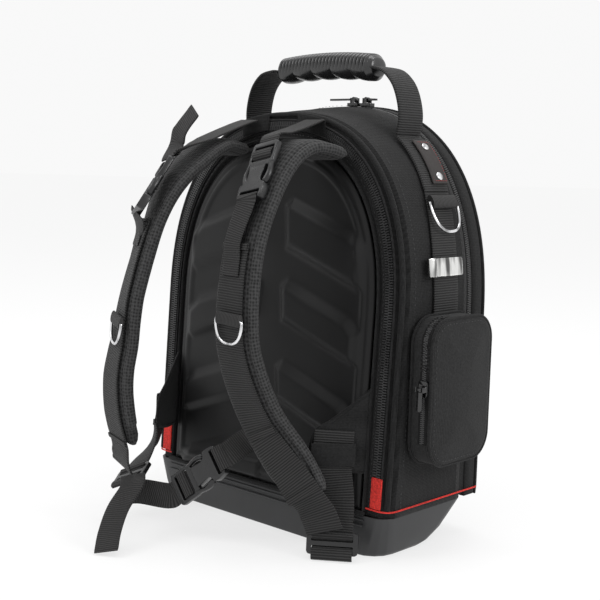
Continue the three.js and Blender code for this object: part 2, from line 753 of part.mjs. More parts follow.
SIDES.forEach(([name, side]) => {
  const low = even(POCKET_BOTTOM + SIDE_WEB_TUCK, SPRING_HEIGHT, 2);
  const levels = [...low, ...even(SPRING_HEIGHT, HANDLE_END - GAP, 6).slice(1)];
  add(`side_webbing_${name}`, loft(levels.map(
    (z) => wallSection(side, webY(z), z, WEB, LAY, WEB_THICK),
  )), WEBBING);

  const onSide = even(HANDLE_END, handleShoulder, 5).map(
    (z) => wallSection(side, webY(z), z, WEB, LAY, HANDLE_THICK),
  );
  const free = HANDLE_ROWS.map(({ across, up, turn, width = 1 }) => {
    const z = mix(handleShoulder, GRIP_HEIGHT, up);
    const x = side * HANDLE_HALF * across;
    const y = mix(webY(handleShoulder), GRIP_Y, up);
    const angle = THREE.MathUtils.degToRad(turn);
    const normal = vec(side * Math.cos(angle), 0, Math.sin(angle));
    return [[-1, -1], [1, -1], [1, 1], [-1, 1]].map(([i, j]) => vec(x, y + (i * WEB * width) / 2, z)
      .addScaledVector(normal, (j * HANDLE_THICK) / 2));
  });
  add(`handle_webbing_${name}`, loft([...onSide, ...free]), WEBBING);

  const patchY = (z) => webY(z) + PATCH_SHIFT;
  const patchSeat = LAY + HANDLE_THICK + LAY;
  add(`leather_patch_${name}`, loft(even(PATCH_BOTTOM, PATCH_TOP, 5).map(
    (z) => wallSection(side, patchY(z), z, PATCH_WIDTH, patchSeat, PATCH_THICK),
  )), LEATHER);
  [['lower', 0.16], ['upper', 0.84]].forEach(([level, share]) => {
    const z = mix(PATCH_BOTTOM, PATCH_TOP, share);
    const spot = onWall(side, patchY(z), z);
    const rivet = new THREE.CylinderGeometry(RIVET_RADIUS * 0.6, RIVET_RADIUS, RIVET_HEIGHT, 12);
    const seat = patchSeat + PATCH_THICK + GAP + RIVET_HEIGHT / 2;
    const across = onWall(side, patchY(z) + RIVET_RADIUS, z).place.sub(spot.place).normalize();
    const out = across.clone().cross(spot.up).multiplyScalar(side);
    placed(rivet, across, out, across.clone().cross(out), spot.place.clone().addScaledVector(out, seat));
    add(`rivet_${name}_${level}`, rivet, CHROME);
  });
});

// Grip: round above, five finger scallops below, slightly crowned
function grip() {
  const count = SCALLOPS * 4 + 2;
  const sides = 12;
  const rings = even(-1, 1, count).map((share) => {
    const x = (share * GRIP_LENGTH) / 2;
    const end = 1 - 0.35 * Math.max(Math.abs(share) - 0.9, 0) * 10;
    const wave = Math.abs(Math.sin((Math.PI * SCALLOPS * (share + 1)) / 2));
    const z = GRIP_HEIGHT + GRIP_CROWN * (1 - share ** 2);
    return Array.from({ length: sides }, (_, k) => {
      const angle = (2 * Math.PI * k) / sides;
      const below = Math.max(-Math.sin(angle), 0);
      const reach = end * (1 - (below * (1 - wave) * SCALLOP_DEPTH * 2) / GRIP_THICK);
      return vec(
        x,
        GRIP_Y + (GRIP_DEPTH / 2) * reach * signedPower(Math.cos(angle), 0.85),
        z + (GRIP_THICK / 2) * reach * signedPower(Math.sin(angle), 0.85),
      );
    });
  });
  return loft(rings);
}

add('handle_grip', grip(), GRIP);

// Rings

// A ring of round wire in x and y: a straight bar along x and a bow that hangs towards -y
function wireRing(width, drop, wire) {
  const reach = width / 2 - wire;
  const points = even(0, Math.PI, 12).map((angle) => vec(
    reach * signedPower(Math.cos(angle), 0.75),
    -(drop - wire) * Math.sin(angle) ** 0.85,
    0,
  ));
  const section = new THREE.Shape();
  section.absarc(0, 0, wire, 0, 2 * Math.PI, false);
  const bow = new THREE.ExtrudeGeometry(section, {
    steps: 22,
    curveSegments: 7,
    bevelEnabled: false,
    extrudePath: new THREE.CatmullRomCurve3(points),
  });
  const bar = rod(wire * 1.04, width, 10).rotateZ(Math.PI / 2);
  return joinAll([bow, bar]);
}

// A folded webbing loop, its hole along x for the ring's bar
function barLoop(width, height, depth, wire) {
  const shape = roundedShape(depth, height, depth * 0.42);
  const body = plate(shape, width, 3).rotateY(Math.PI / 2);
  return cutAll(body, [rod(wire * 1.04 + GAP, width * 2, 12).rotateZ(Math.PI / 2)]);
}

const ringStandoff = LAY + WEB_THICK + GAP + LOOP_DEPTH / 2;
const ringSpot = onWall(1, webY(SIDE_RING_HEIGHT), SIDE_RING_HEIGHT);
const ringFrame = [vec(0, 1, 0), ringSpot.up, vec(0, 1, 0).cross(ringSpot.up)];
const ringPlace = lifted(ringSpot, ringStandoff);
const loopWidth = RING_WIDTH - 4 * RING_WIRE - 2 * PLAY;
add('side_ring', placed(wireRing(RING_WIDTH, RING_DROP, RING_WIRE), ...ringFrame, ringPlace), CHROME);
const ringLoop = barLoop(loopWidth, LOOP_HEIGHT, LOOP_DEPTH, RING_WIRE);
add('side_ring_loop', placed(ringLoop, ...ringFrame, ringPlace), WEBBING);

// The place on a strap's line nearest to a height
function stationAt(line, z) {
  return line.reduce((best, s) => (Math.abs(s.point.z - z) < Math.abs(best.point.z - z) ? s : best));
}

const STRAP_RING_UP = { right: 0.545, left: 0.5 };
SIDES.forEach(([name]) => {
  const spot = stationAt(strapLine[name], STRAP_RING_UP[name] * BACK_HEIGHT);
  const up = spot.along.clone().negate();
  const frame = [spot.across, up, spot.across.clone().cross(up)];
  const out = spot.face.dot(frame[2]);
  const seat = strapSeat + WEB_THICK / 2 + 2 * GAP + TAB_DEPTH / 2;
  const at = spot.point.clone()
    .addScaledVector(frame[2], out * seat)
    .addScaledVector(spot.across, STRAP_RING_SHIFT);
  const tabWidth = STRAP_RING_WIDTH - 4 * RING_WIRE - 2 * PLAY;
  const ring = wireRing(STRAP_RING_WIDTH, STRAP_RING_DROP, RING_WIRE);
  add(`strap_ring_${name}`, placed(ring, ...frame, at), CHROME);
  const tab = barLoop(tabWidth, TAB_HEIGHT, TAB_DEPTH, RING_WIRE);
  add(`strap_ring_tab_${name}`, placed(tab, ...frame, at), WEBBING);
});

// Tape clip: a flat plate whose near end is rolled over
function tapeClip() {
  const half = CLIP_LENGTH / 2;
  const shape = new THREE.Shape();
  shape.moveTo(-half + CLIP_ROLL, 0);
  shape.lineTo(half, 0);
  shape.lineTo(half, CLIP_THICK);
  shape.lineTo(-half + 3 * CLIP_ROLL, CLIP_THICK);
  shape.quadraticCurveTo(-half + 2 * CLIP_ROLL, 2 * CLIP_ROLL, -half + CLIP_ROLL, 2 * CLIP_ROLL);
  shape.absarc(-half + CLIP_ROLL, CLIP_ROLL, CLIP_ROLL, Math.PI / 2, Math.PI * 1.5, false);
  return plate(shape, CLIP_HEIGHT, 5);
}

const clipSpot = onWall(1, CLIP_Y, CLIP_Z);
const clipSeat = lifted(clipSpot, LAY + WEB_THICK + GAP);
const clipAcross = vec(0, 1, 0);
const clipFrame = [clipAcross, clipSpot.normal, clipAcross.clone().cross(clipSpot.normal)];
add('tape_clip', placed(tapeClip(), ...clipFrame, clipSeat), CHROME);

// Side pocket: a crowned pouch, open towards the wall

function pocketRing(depth, inset) {
  const width = POCKET_FRONT - POCKET_BACK - 2 * inset;
  const height = POCKET_TOP - POCKET_BOTTOM - 2 * inset;
  const corner = Math.max(POCKET_CORNER - inset, 2);
  const middleY = (POCKET_FRONT + POCKET_BACK) / 2;
  const middleZ = (POCKET_TOP + POCKET_BOTTOM) / 2;
  return roundedLoop(width, height, corner).map((point) => {
    const z = middleZ + point.y;
    return vec(depth + wallHalf(middleY + point.x, z), middleY + point.x, z);
  });
}

const pocketSeat = LAY + WEB_THICK + GAP;
add('side_pocket', loft([
  pocketRing(POCKET_DEPTH + POCKET_CROWN, POCKET_CORNER * 1.3),
  pocketRing(POCKET_DEPTH, POCKET_CORNER * 0.3),
  pocketRing(POCKET_DEPTH - 4, 0),
  pocketRing(pocketSeat + POCKET_WALL * 5, 0),
  pocketRing(pocketSeat, 0),
  pocketRing(pocketSeat, POCKET_WALL),
  pocketRing(POCKET_DEPTH - 5, POCKET_WALL),
  pocketRing(POCKET_DEPTH - POCKET_WALL, POCKET_CORNER * 0.3 + 1),
  pocketRing(POCKET_DEPTH + POCKET_CROWN - POCKET_WALL, POCKET_CORNER * 1.3),
]), FABRIC);

// Zip sliders: a body with two ears for the pull's pin, and a pull on that pin.
// Both are drawn with the pull along -y, the pin along x and the face along z.

const EAR_THICK = 1.6;
const EAR_WIDTH = 5;
const EYE_WALL = 2.2;
const eyeReach = PIN_RADIUS + EYE_WALL;
const pinHeight = SLIDER_THICK + Math.hypot(eyeReach, PULL_THICK / 2) + GAP;

function slider() {
  const body = plate(roundedShape(SLIDER_WIDTH, SLIDER_LENGTH, 2.5), SLIDER_THICK, 3);
  body.translate(0, 0, SLIDER_THICK / 2);
  const earTop = pinHeight + EAR_THICK;
  const earLow = SLIDER_THICK / 2;
  const ear = (x) => block(EAR_THICK, EAR_WIDTH, earTop - earLow).translate(x, 0, (earTop + earLow) / 2);
  const gapHalf = PULL_WIDTH / 2;
  const pin = rod(PIN_RADIUS, 2 * gapHalf, 8).rotateZ(Math.PI / 2).translate(0, 0, pinHeight);
  return joinAll([body, ear(-gapHalf), ear(gapHalf), pin]);
}

function pull(length) {
  const eye = eyeReach;
  const width = PULL_WIDTH - EAR_THICK - 2 * PLAY;
  const shape = roundedShape(width, length + eye, width * 0.4);
  const body = plate(shape, PULL_THICK, 3).translate(0, (eye - length) / 2, 0);
  const barrel = rod(eye - 0.6, width, 10).rotateZ(Math.PI / 2);
  const bore = rod((PIN_RADIUS + GAP) / Math.cos(Math.PI / 10), width * 2, 10).rotateZ(Math.PI / 2);
  return cutAll(joinAll([body, barrel]), [bore]);
}

function zipSlider(name, along, up, out, at, length) {
  add(`${name}_slider`, placed(slider(), along, up, out, at), ZIPPER);
  const pinAt = at.clone().addScaledVector(out, pinHeight);
  add(`${name}_pull`, placed(pull(length), along, up, out, pinAt), PLASTIC);
}

const pocketSide = POCKET_DEPTH * 0.75 + HALF;
zipSlider(
  'pocket',
  vec(1, 0, 0),
  vec(0, 0, 1),
  vec(0, -1, 0),
  vec(pocketSide, POCKET_BACK - GAP, POCKET_SLIDER_Z),
  PULL_SHORT * 1.6,
);

const topZipY = (GUSSET_END_Y + GAP + ZIP_FRONT_Y) / 2;
const topPlace = (x) => vec(x, topZipY, archHeight(Math.max(x - SLIDER_LENGTH / 2, 0), 1) + GAP);
const topOther = TOP_SLIDER_X + SLIDER_LENGTH + 2;
const upward = vec(0, 0, 1);
zipSlider('top_a', vec(0, -1, 0), vec(1, 0, 0), upward, topPlace(TOP_SLIDER_X), PULL_LENGTH);
zipSlider('top_b', vec(0, 1, 0), vec(-1, 0, 0), upward, topPlace(topOther), PULL_SHORT);

// Side release buckles: the socket and the plug, drawn along x with the face along z

const SOCKET_SHARE = 0.56;
const SLOT_WIDTH = WEB_NARROW + 1;
const SLOT = 5;

// A plate with slots across it, each given by its middle along x
function slotted(shape, thick, slots, width) {
  return cutAll(plate(shape, thick), slots.map((x) => block(SLOT, width, thick * 2).translate(x, 0, 0)));
}

function polygon(points) {
  const shape = new THREE.Shape();
  shape.setFromPoints(points.map(([x, y]) => new THREE.Vector2(x, y)));
  return shape;
}

function buckleSocket() {
  const length = BUCKLE_LENGTH * SOCKET_SHARE;
  const half = BUCKLE_WIDTH / 2;
  const notch = half - BUCKLE_WIDTH * 0.11;
  const shape = polygon([
    [0, -half + 2], [length * 0.5, -half], [length * 0.56, -notch], [length * 0.88, -notch],
    [length, -half + 1], [length, half - 1], [length * 0.88, notch], [length * 0.56, notch],
    [length * 0.5, half], [0, half - 2],
  ]);
  return slotted(shape, BUCKLE_THICK, [SLOT * 1.1], SLOT_WIDTH);
}

function bucklePlug() {
  const start = BUCKLE_LENGTH * SOCKET_SHARE + GAP;
  const half = BUCKLE_WIDTH / 2;
  const shape = polygon([
    [start, -half], [BUCKLE_LENGTH - 3, -half], [BUCKLE_LENGTH, -half + 3],
    [BUCKLE_LENGTH, half - 3], [BUCKLE_LENGTH - 3, half], [start, half],
  ]);
  return slotted(shape, BUCKLE_THICK - 1, [BUCKLE_LENGTH * 0.71, BUCKLE_LENGTH * 0.88], SLOT_WIDTH);
}

// A row given by plain shares of the same sizes as a strap's row
function place(across, out, up) {
  const z = up * BACK_HEIGHT;
  return vec(across * HALF, backY(z) - out * STRAP_REACH, z);
}

function buckleFrame(from, to, facing) {
  const along = to.clone().sub(from).normalize();
  const across = facing.clone().cross(along).normalize();
  return [along, across, along.clone().cross(across)];
}

// Length of webbing that runs straight out of a buckle
const LEAD = 7;

// Load lifters: webbing from the top of the back down to a buckle on each strap

const LIFTERS = {
  right: {
    rows: [[0.273, 0.009, 0.978], [0.273, 0.3, 0.957], [0.285, 0.53, 0.945]],
    high: [0.31, 0.748, 0.932],
    low: [0.375, 1.102, 0.797],
    facing: [-0.12, -0.85, 0.5],
  },
  left: {
    rows: [[-0.273, 0.017, 0.978], [-0.278, 0.17, 0.968], [-0.284, 0.68, 0.928]],
    high: [-0.285, 1.123, 0.887],
    low: [-0.287, 1.563, 0.76],
    facing: [-0.55, -0.7, 0.45],
  },
};
SIDES.forEach(([name]) => {
  const lifter = LIFTERS[name];
  const low = place(...lifter.low);
  const frame = buckleFrame(low, place(...lifter.high), vec(...lifter.facing));
  add(`lifter_socket_${name}`, placed(buckleSocket(), ...frame, low), PLASTIC);
  add(`lifter_plug_${name}`, placed(bucklePlug(), ...frame, low.clone()), PLASTIC);
  const top = low.clone().addScaledVector(frame[0], BUCKLE_LENGTH + GAP);
  const across = vec(1, 0, 0);
  const path = lifter.rows.map((row) => ({ at: place(...row), across }));
  const end = frame[1].clone().multiplyScalar(Math.sign(frame[1].x));
  path.push({ at: top.clone().addScaledVector(frame[0], LEAD), across: end });
  path.push({ at: top, across: end });
  add(`lifter_webbing_${name}`, ribbon(stationsOf(path, 2), WEB_NARROW, WEB_THICK), WEBBING);
});

// The loose end of the left lifter's webbing stands up past its buckle
const looseEnd = [[-0.335, 1, 0.915], [-0.303, 1.005, 0.945], [-0.218, 0.95, 0.993]];
add('lifter_tail_left', ribbon(
  stationsOf(looseEnd.map(([a, b, c]) => ({ at: place(a, b, c), across: vec(0.985, -0.17, 0) })), 2),
  WEB_NARROW,
  WEB_THICK,
), WEBBING);

// Patches over the strap roots, on the top edge at the back
SIDES.forEach(([name, side]) => {
  const seat = zipSeat - ZIP_THICK - GAP;
  const section = [[ROOT_PATCH_LOW, 0], [2, 0], [2, ROOT_PATCH_THICK], [ROOT_PATCH_LOW, ROOT_PATCH_THICK]];
  const rows = even(PATCH_INNER, PATCH_OUTER, 3).map((x) => section.map(([down, thick]) => {
    const z = archHeight(x, 0) - down;
    return vec(side * x, backY(z) + seat - thick, z);
  }));
  add(`strap_patch_${name}`, loft(rows), FABRIC);
});

// Wings: fabric corners that stand out from the back, with webbing down to a ladder lock

const wingRoot = (side, z) => vec(side * (HALF - FLANGE_WIDTH + 5), backY(z) + FLANGE_SET - GAP, z);
const WINGS = {
  right: { turn: 45, middle: [0.725, 0.22, 0.13], low: [0.75, 0.26, 0.062], lock: 32, lift: 0 },
  left: { turn: 62, middle: [-0.72, 0.52, 0.165], low: [-0.655, 0.82, 0.12], lock: 25, lift: 4.5 },
};
const wingShape = [[0, 1], [0.3, 0.82], [0.7, 0.6], [1, 0.45], [1, 0.12], [0.6, 0.02], [0, 0]];

SIDES.forEach(([name, side]) => {
  const turn = THREE.MathUtils.degToRad(WINGS[name].turn);
  const reach = vec(-side * Math.cos(turn), -Math.sin(turn), 0);
  const out = vec(side * Math.sin(turn), -Math.cos(turn), 0);
  const point = (share, up, off) => wingRoot(side, mix(WING_LOW, WING_TOP, up))
    .addScaledVector(reach, share * WING_REACH + WING_THICK / 2 / Math.tan(turn))
    .addScaledVector(out, off);
  add(`wing_${name}`, loft([-1, 1].map((end) => wingShape.map(
    ([share, up]) => point(share, up, (end * WING_THICK) / 2),
  ))), FABRIC);

  const web = 1 - WEB / 2 / WING_REACH;
  const seat = WING_THICK / 2 + 3 * GAP + WEB_THICK / 2;
  const tilt = THREE.MathUtils.degToRad(WINGS[name].lock);
  const across = reach.clone().negate();
  const lockAcross = vec(side * Math.cos(tilt), Math.sin(tilt), 0);
  const low = place(...WINGS[name].low);
  const rows = [
    { at: point(web, 0.5, seat), across },
    { at: point(web, 0.2, seat), across },
    { at: point(web, 0.02, seat + WINGS[name].lift), across },
    { at: place(...WINGS[name].middle), across: across.clone().lerp(lockAcross, 0.5) },
    { at: low, across: lockAcross },
  ];
  const line = stationsOf(rows, 3);
  add(`wing_webbing_${name}`, ribbon(line, WEB, WEB_THICK), WEBBING);

  const last = line[line.length - 1];
  const up = last.along.clone().negate();
  const frame = [last.across, up, last.across.clone().cross(up)];
  const at = last.point.clone().addScaledVector(last.along, GAP + LOCK_LENGTH / 2);
  const lock = cutAll(plate(roundedShape(LOCK_WIDTH, LOCK_LENGTH, 3), LOCK_THICK), [-1, 1].map(
    (end) => block(WEB + 2, LOCK_LENGTH * 0.19, LOCK_THICK * 2).translate(0, end * LOCK_LENGTH * 0.2, 0),
  ));
  add(`ladder_lock_${name}`, placed(lock, ...frame, at), PLASTIC);

  if (side > 0) {
    const band = seat + WEB_THICK / 2 + 3 * GAP + KEEPER_THICK / 2;
    const middle = point(web, 0.21, band);
    const keeper = block(WEB + 4, KEEPER_WIDTH, KEEPER_THICK);
    add('keeper_right', placed(keeper, across, vec(0, 0, 1), out, middle), FABRIC);
  }
});

// Waist strap: webbing from under each strap to the closed buckle in the middle

const waistFrom = vec(0.15 * HALF, backY(0) - 0.82 * STRAP_REACH, 0.205 * BACK_HEIGHT);
const waistTo = vec(-0.2 * HALF, backY(0) - 1.05 * STRAP_REACH, 0.085 * BACK_HEIGHT);
const waistFrame = buckleFrame(waistFrom, waistTo, vec(0.3, -1, 0.35));
add('waist_socket', placed(buckleSocket(), ...waistFrame, waistFrom), PLASTIC);
add('waist_plug', placed(bucklePlug(), ...waistFrame, waistFrom.clone()), PLASTIC);

const waistRight = [[0.34, 0.33, 0.285], [0.25, 0.46, 0.262]].map(([a, b, c]) => place(a, b, c));
waistRight.push(waistFrom.clone().addScaledVector(waistFrame[0], -GAP - LEAD));
waistRight.push(waistFrom.clone().addScaledVector(waistFrame[0], -GAP));
add('waist_webbing_right', ribbon(stationsOf(
  waistRight.map((at) => ({ at, across: waistFrame[1].clone() })),
  2,
), WEB_NARROW, WEB_THICK), WEBBING);

const waistEnd = waistFrame[1].clone().negate();
const waistLeft = [
  { at: waistFrom.clone().addScaledVector(waistFrame[0], BUCKLE_LENGTH + GAP), across: waistEnd },
  { at: waistFrom.clone().addScaledVector(waistFrame[0], BUCKLE_LENGTH + GAP + LEAD), across: waistEnd },
  { at: place(-0.35, 1.2, 0.1), across: waistEnd.clone().lerp(vec(0, 0.6, 0.7), 0.5) },
  { at: place(-0.415, 1.255, 0.094), across: vec(0, 0.6, 0.7) },
];
add('waist_webbing_left', ribbon(stationsOf(waistLeft, 2), WEB_NARROW, WEB_THICK), WEBBING);

const waistTail = [
  [-0.38, 1.275, 0.14],
  [-0.303, 1.4, 0.125],
  [-0.267, 1.625, 0.0855],
  [-0.206, 1.812, 0.043],
  [-0.145, 1.934, 0.011],
];
add('waist_tail', ribbon(stationsOf(
  waistTail.map((row) => ({ at: place(...row), across: vec(0.966, 0.26, 0) })),
  2,
), WEB_NARROW, WEB_THICK), WEBBING);

export default bag;
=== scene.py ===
"""Looks of the tool backpack: cloth, padding, webbing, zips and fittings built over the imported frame.

Lengths in this script are millimetres until a piece is finished; a finished mesh is in metres.
"""
import math

import bmesh
import bpy
from mathutils import Matrix, Vector, noise


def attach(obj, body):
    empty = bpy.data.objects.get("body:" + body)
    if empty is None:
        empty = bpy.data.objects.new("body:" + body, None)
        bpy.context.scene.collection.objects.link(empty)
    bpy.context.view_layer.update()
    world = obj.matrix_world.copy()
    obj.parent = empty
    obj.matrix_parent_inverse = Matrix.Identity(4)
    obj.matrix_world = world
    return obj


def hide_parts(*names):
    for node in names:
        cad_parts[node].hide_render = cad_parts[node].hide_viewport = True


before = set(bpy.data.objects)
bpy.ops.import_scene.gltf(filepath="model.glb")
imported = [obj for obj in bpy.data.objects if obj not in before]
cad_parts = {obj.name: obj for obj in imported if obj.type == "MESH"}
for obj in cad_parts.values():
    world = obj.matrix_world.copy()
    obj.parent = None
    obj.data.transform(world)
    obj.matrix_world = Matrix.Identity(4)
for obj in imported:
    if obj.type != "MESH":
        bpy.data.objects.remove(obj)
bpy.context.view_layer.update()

MM = 0.001

# Camera: the photograph's place and angle
CAMERA_PLACE = Vector((0.8239, -0.8994, 0.3739))
CAMERA_RIGHT = Vector((0.72776, 0.68534, 0.02599))
CAMERA_UP = Vector((-0.10117, 0.06980, 0.99242))
CAMERA_AHEAD = Vector((-0.67833, 0.72487, -0.12014))
CAMERA_LENS = 70.0

# The bag's sizes, as in the part
HALF = 165.0
BACK_SET = 76.0
FRONT_SET = 75.0
BACK_LEAN = 0.06
SPRING = 225.0
BACK_TOP = 421.0
FRONT_TOP = 430.0
ARCH_POWER = 2.35
GAP = 0.3
BODY_LOW = 40.3
FLANGE_WIDTH = 31.0
FLANGE_SET = 5.0
CORNER_CUT = 11.0
GUSSET_END = 44.4
ZIP_FRONT = 53.7
WEB = 38.0
WEB_NARROW = 25.0
WEB_THICK = 2.0
MELTED_END = 1.2
CLOTH_THICK = 2.6
LAY = 0.6
STRAP_REACH = 90.0
ARCH_RUN = 970.0
ARCH_STEPS = 150
ARCH_STRAIGHT = 0.2


def camera():
    """Sets the camera where the photograph was taken from."""
    data = bpy.data.cameras.new("camera")
    data.lens = CAMERA_LENS
    data.sensor_width = 36.0
    data.clip_start = 0.05
    data.clip_end = 20.0
    taken_from = bpy.data.objects.new("camera", data)
    bpy.context.scene.collection.objects.link(taken_from)
    turn = Matrix((CAMERA_RIGHT, CAMERA_UP, -CAMERA_AHEAD)).transposed().to_4x4()
    taken_from.matrix_world = Matrix.Translation(CAMERA_PLACE) @ turn
    bpy.context.scene.camera = taken_from


camera()


# Finishes

MIX_FIRST, MIX_SECOND, MIX_RESULT = 6, 7, 2
WAVE_PERIOD = 2 * math.pi / 20


class Finish:
    """One node material, built a step at a time."""

    def __init__(self, name, colour, roughness, metallic=0.0, sheen=0.0, gleam=0.5):
        self.material = bpy.data.materials.new(name)
        self.material.use_nodes = True
        self.tree = self.material.node_tree
        self.shader = self.tree.nodes["Principled BSDF"]
        self.colour = colour
        self.shader.inputs["Base Color"].default_value = (*colour, 1)
        self.shader.inputs["Roughness"].default_value = roughness
        self.shader.inputs["Metallic"].default_value = metallic
        self.shader.inputs["Sheen Weight"].default_value = sheen
        self.shader.inputs["Sheen Roughness"].default_value = 0.4
        self.shader.inputs["Specular IOR Level"].default_value = gleam
        self.height = None
        self.place = self.add("ShaderNodeTexCoord")

    def add(self, kind, links=(), **settings):
        node = self.tree.nodes.new(kind)
        for key, value in settings.items():
            if key in node.inputs:
                node.inputs[key].default_value = value
            else:
                setattr(node, key, value)
        for key, source in dict(links).items():
            self.tree.links.new(source, node.inputs[key])
        return node

    def where(self, kind, scale=(1, 1, 1), turn=(0, 0, 0)):
        """Coordinates in millimetres: 'Object' or 'UV', stretched and turned."""
        node = self.add("ShaderNodeMapping", {"Vector": self.place.outputs[kind]})
        node.inputs["Scale"].default_value = tuple(1000 * s for s in scale)
        node.inputs["Rotation"].default_value = turn
        return node.outputs["Vector"]

    def bands(self, vector, period, direction="X", wobble=0.0):
        """Smooth ribs, one every period millimetres."""
        node = self.add("ShaderNodeTexWave", {"Vector": vector}, bands_direction=direction)
        node.inputs["Scale"].default_value = WAVE_PERIOD / period
        node.inputs["Distortion"].default_value = wobble
        node.inputs["Detail"].default_value = 1.0
        node.inputs["Detail Scale"].default_value = 2.0
        return node.outputs["Fac"]

    def speckle(self, vector, size, detail=3.0):
        node = self.add("ShaderNodeTexNoise", {"Vector": vector})
        node.inputs["Scale"].default_value = 1 / size
        node.inputs["Detail"].default_value = detail
        return node.outputs["Fac"]

    def holes(self, vector, size):
        node = self.add("ShaderNodeTexVoronoi", {"Vector": vector})
        node.inputs["Scale"].default_value = 1 / size
        node.inputs["Randomness"].default_value = 0.25
        return node.outputs["Distance"]

    def sum(self, *parts):
        """Adds (value, weight) pairs."""
        total = None
        for value, weight in parts:
            node = self.add("ShaderNodeMath", {0: value}, operation="MULTIPLY")
            node.inputs[1].default_value = weight
            part = node.outputs[0]
            if total is not None:
                part = self.add("ShaderNodeMath", {0: total, 1: part}, operation="ADD").outputs[0]
            total = part
        return total

    def relief(self, value, depth, strength=1.0):
        """Bump of that depth in millimetres."""
        links = {"Height": value}
        if self.height is not None:
            links["Normal"] = self.height
        node = self.add("ShaderNodeBump", links)
        node.inputs["Distance"].default_value = depth * MM
        node.inputs["Strength"].default_value = strength
        self.height = node.outputs["Normal"]
        self.tree.links.new(self.height, self.shader.inputs["Normal"])

    def shade(self, value, low, high, dark=0.0, light=1.0):
        """Mixes the colour from low to high times itself by a value between dark and light."""
        span = self.add("ShaderNodeMapRange", {"Value": value})
        span.inputs["From Min"].default_value = dark
        span.inputs["From Max"].default_value = light
        mixed = self.add("ShaderNodeMix", {"Factor": span.outputs[0]}, data_type="RGBA")
        mixed.inputs[MIX_FIRST].default_value = (*(c * low for c in self.colour), 1)
        mixed.inputs[MIX_SECOND].default_value = (*(c * high for c in self.colour), 1)
        self.tree.links.new(mixed.outputs[MIX_RESULT], self.shader.inputs["Base Color"])

    def wear(self, value, low, high, dark=0.3, light=0.7):
        """Drives the roughness from low to high."""
        span = self.add("ShaderNodeMapRange", {"Value": value})
        span.inputs["From Min"].default_value = dark
        span.inputs["From Max"].default_value = light
        span.inputs["To Min"].default_value = low
        span.inputs["To Max"].default_value = high
        self.tree.links.new(span.outputs[0], self.shader.inputs["Roughness"])


def woven_cloth(name, colour, thread=1.5, depth=0.3):
    """Pack cloth: a coarse basket weave that follows the walls."""
    made = Finish(name, colour, 0.82, sheen=0.05, gleam=0.2)
    upright = made.where("Object")
    level = made.where("Object", turn=(0, 0, math.radians(45)))
    weft = made.bands(upright, thread, "Z", 0.8)
    warp = made.bands(level, thread, "X", 0.8)
    slub = made.speckle(upright, 1.7)
    broad = made.speckle(upright, 45.0, 2.0)
    made.relief(made.sum((weft, 0.5), (warp, 0.5), (slub, 1.1)), depth)
    made.shade(made.sum((weft, 0.2), (warp, 0.2), (slub, 0.7), (broad, 0.4)), 0.3, 1.9, 0.45, 1.05)
    made.wear(broad, 0.74, 0.9)
    return made.material


def ribbed_webbing(name, colour, pitch=2.4, depth=0.7):
    """Webbing with ribs across it, on its own UV map: U runs across and V along."""
    made = Finish(name, colour, 0.7, sheen=0.04, gleam=0.3)
    along = made.where("UV")
    rib = made.bands(along, pitch, "Y", 0.5)
    yarn = made.bands(along, 1.3, "X", 0.5)
    fuzz = made.speckle(along, 0.8)
    broad = made.speckle(along, 30.0, 2.0)
    made.relief(made.sum((rib, 0.8), (yarn, 0.15), (fuzz, 0.25)), depth)
    made.shade(made.sum((rib, 0.65), (yarn, 0.1), (fuzz, 0.3), (broad, 0.2)), 0.15, 2.3, 0.3, 1.1)
    return made.material


def mesh_cloth(name, colour, cell=3.4, depth=0.9):
    """Open spacer mesh over padding, on the piece's own UV map."""
    made = Finish(name, colour, 0.8, sheen=0.05, gleam=0.3)
    along = made.where("UV", (1, 0.8, 1))
    hole = made.holes(along, cell)
    fuzz = made.speckle(along, 0.9)
    made.relief(made.sum((hole, 1.0), (fuzz, 0.25)), depth)
    made.shade(made.sum((hole, 0.9), (fuzz, 0.2)), 0.1, 2.3, 0.2, 0.65)
    return made.material


def moulded_foam(name, colour):
    """Smooth cloth bonded to moulded foam."""
    made = Finish(name, colour, 0.5, sheen=0.04, gleam=0.28)
    spot = made.where("Object")
    fine = made.speckle(spot, 0.6)
    broad = made.speckle(spot, 60.0, 2.0)
    made.relief(fine, 0.06)
    made.shade(made.sum((fine, 0.4), (broad, 0.6)), 0.6, 1.4, 0.3, 0.7)
    made.wear(broad, 0.42, 0.58)
    return made.material


def moulded_plastic(name, colour, roughness, grain=0.05, size=0.35, gleam=0.4):
    """Moulded plastic with a fine spark-eroded grain and slightly scuffed broad faces."""
    made = Finish(name, colour, roughness, gleam=gleam)
    spot = made.where("Object")
    fine = made.speckle(spot, size, 2.0)
    scuff = made.speckle(made.where("Object", (1, 1, 0.35)), 14.0, 5.0)
    made.relief(fine, grain)
    made.shade(made.sum((fine, 0.3), (scuff, 0.7)), 0.75, 1.3, 0.3, 0.7)
    made.wear(scuff, roughness - 0.07, roughness + 0.1)
    return made.material


def polished_metal(name, colour, roughness, painted_reflection_range=(0.5, 1.3)):
    """Bright plating with soft upright reflections of its surroundings painted into its colour."""
    made = Finish(name, colour, roughness, metallic=1.0)
    haze = made.speckle(made.where("Object"), 6.0, 4.0)
    # Painted reflection: a noise stretched upright stands in for reflections of the surroundings on the
    # plating.
    painted_reflection = made.speckle(made.where("Object", (1, 1, 0.2)), 8.0, 1.5)
    made.wear(haze, roughness * 0.7, roughness * 1.7)
    # Painted reflection: the colour runs darker and lighter along those upright bands.
    made.shade(painted_reflection, *painted_reflection_range, 0.38, 0.56)
    made.relief(made.speckle(made.where("Object"), 1.6, 3.0), 0.02)
    return made.material


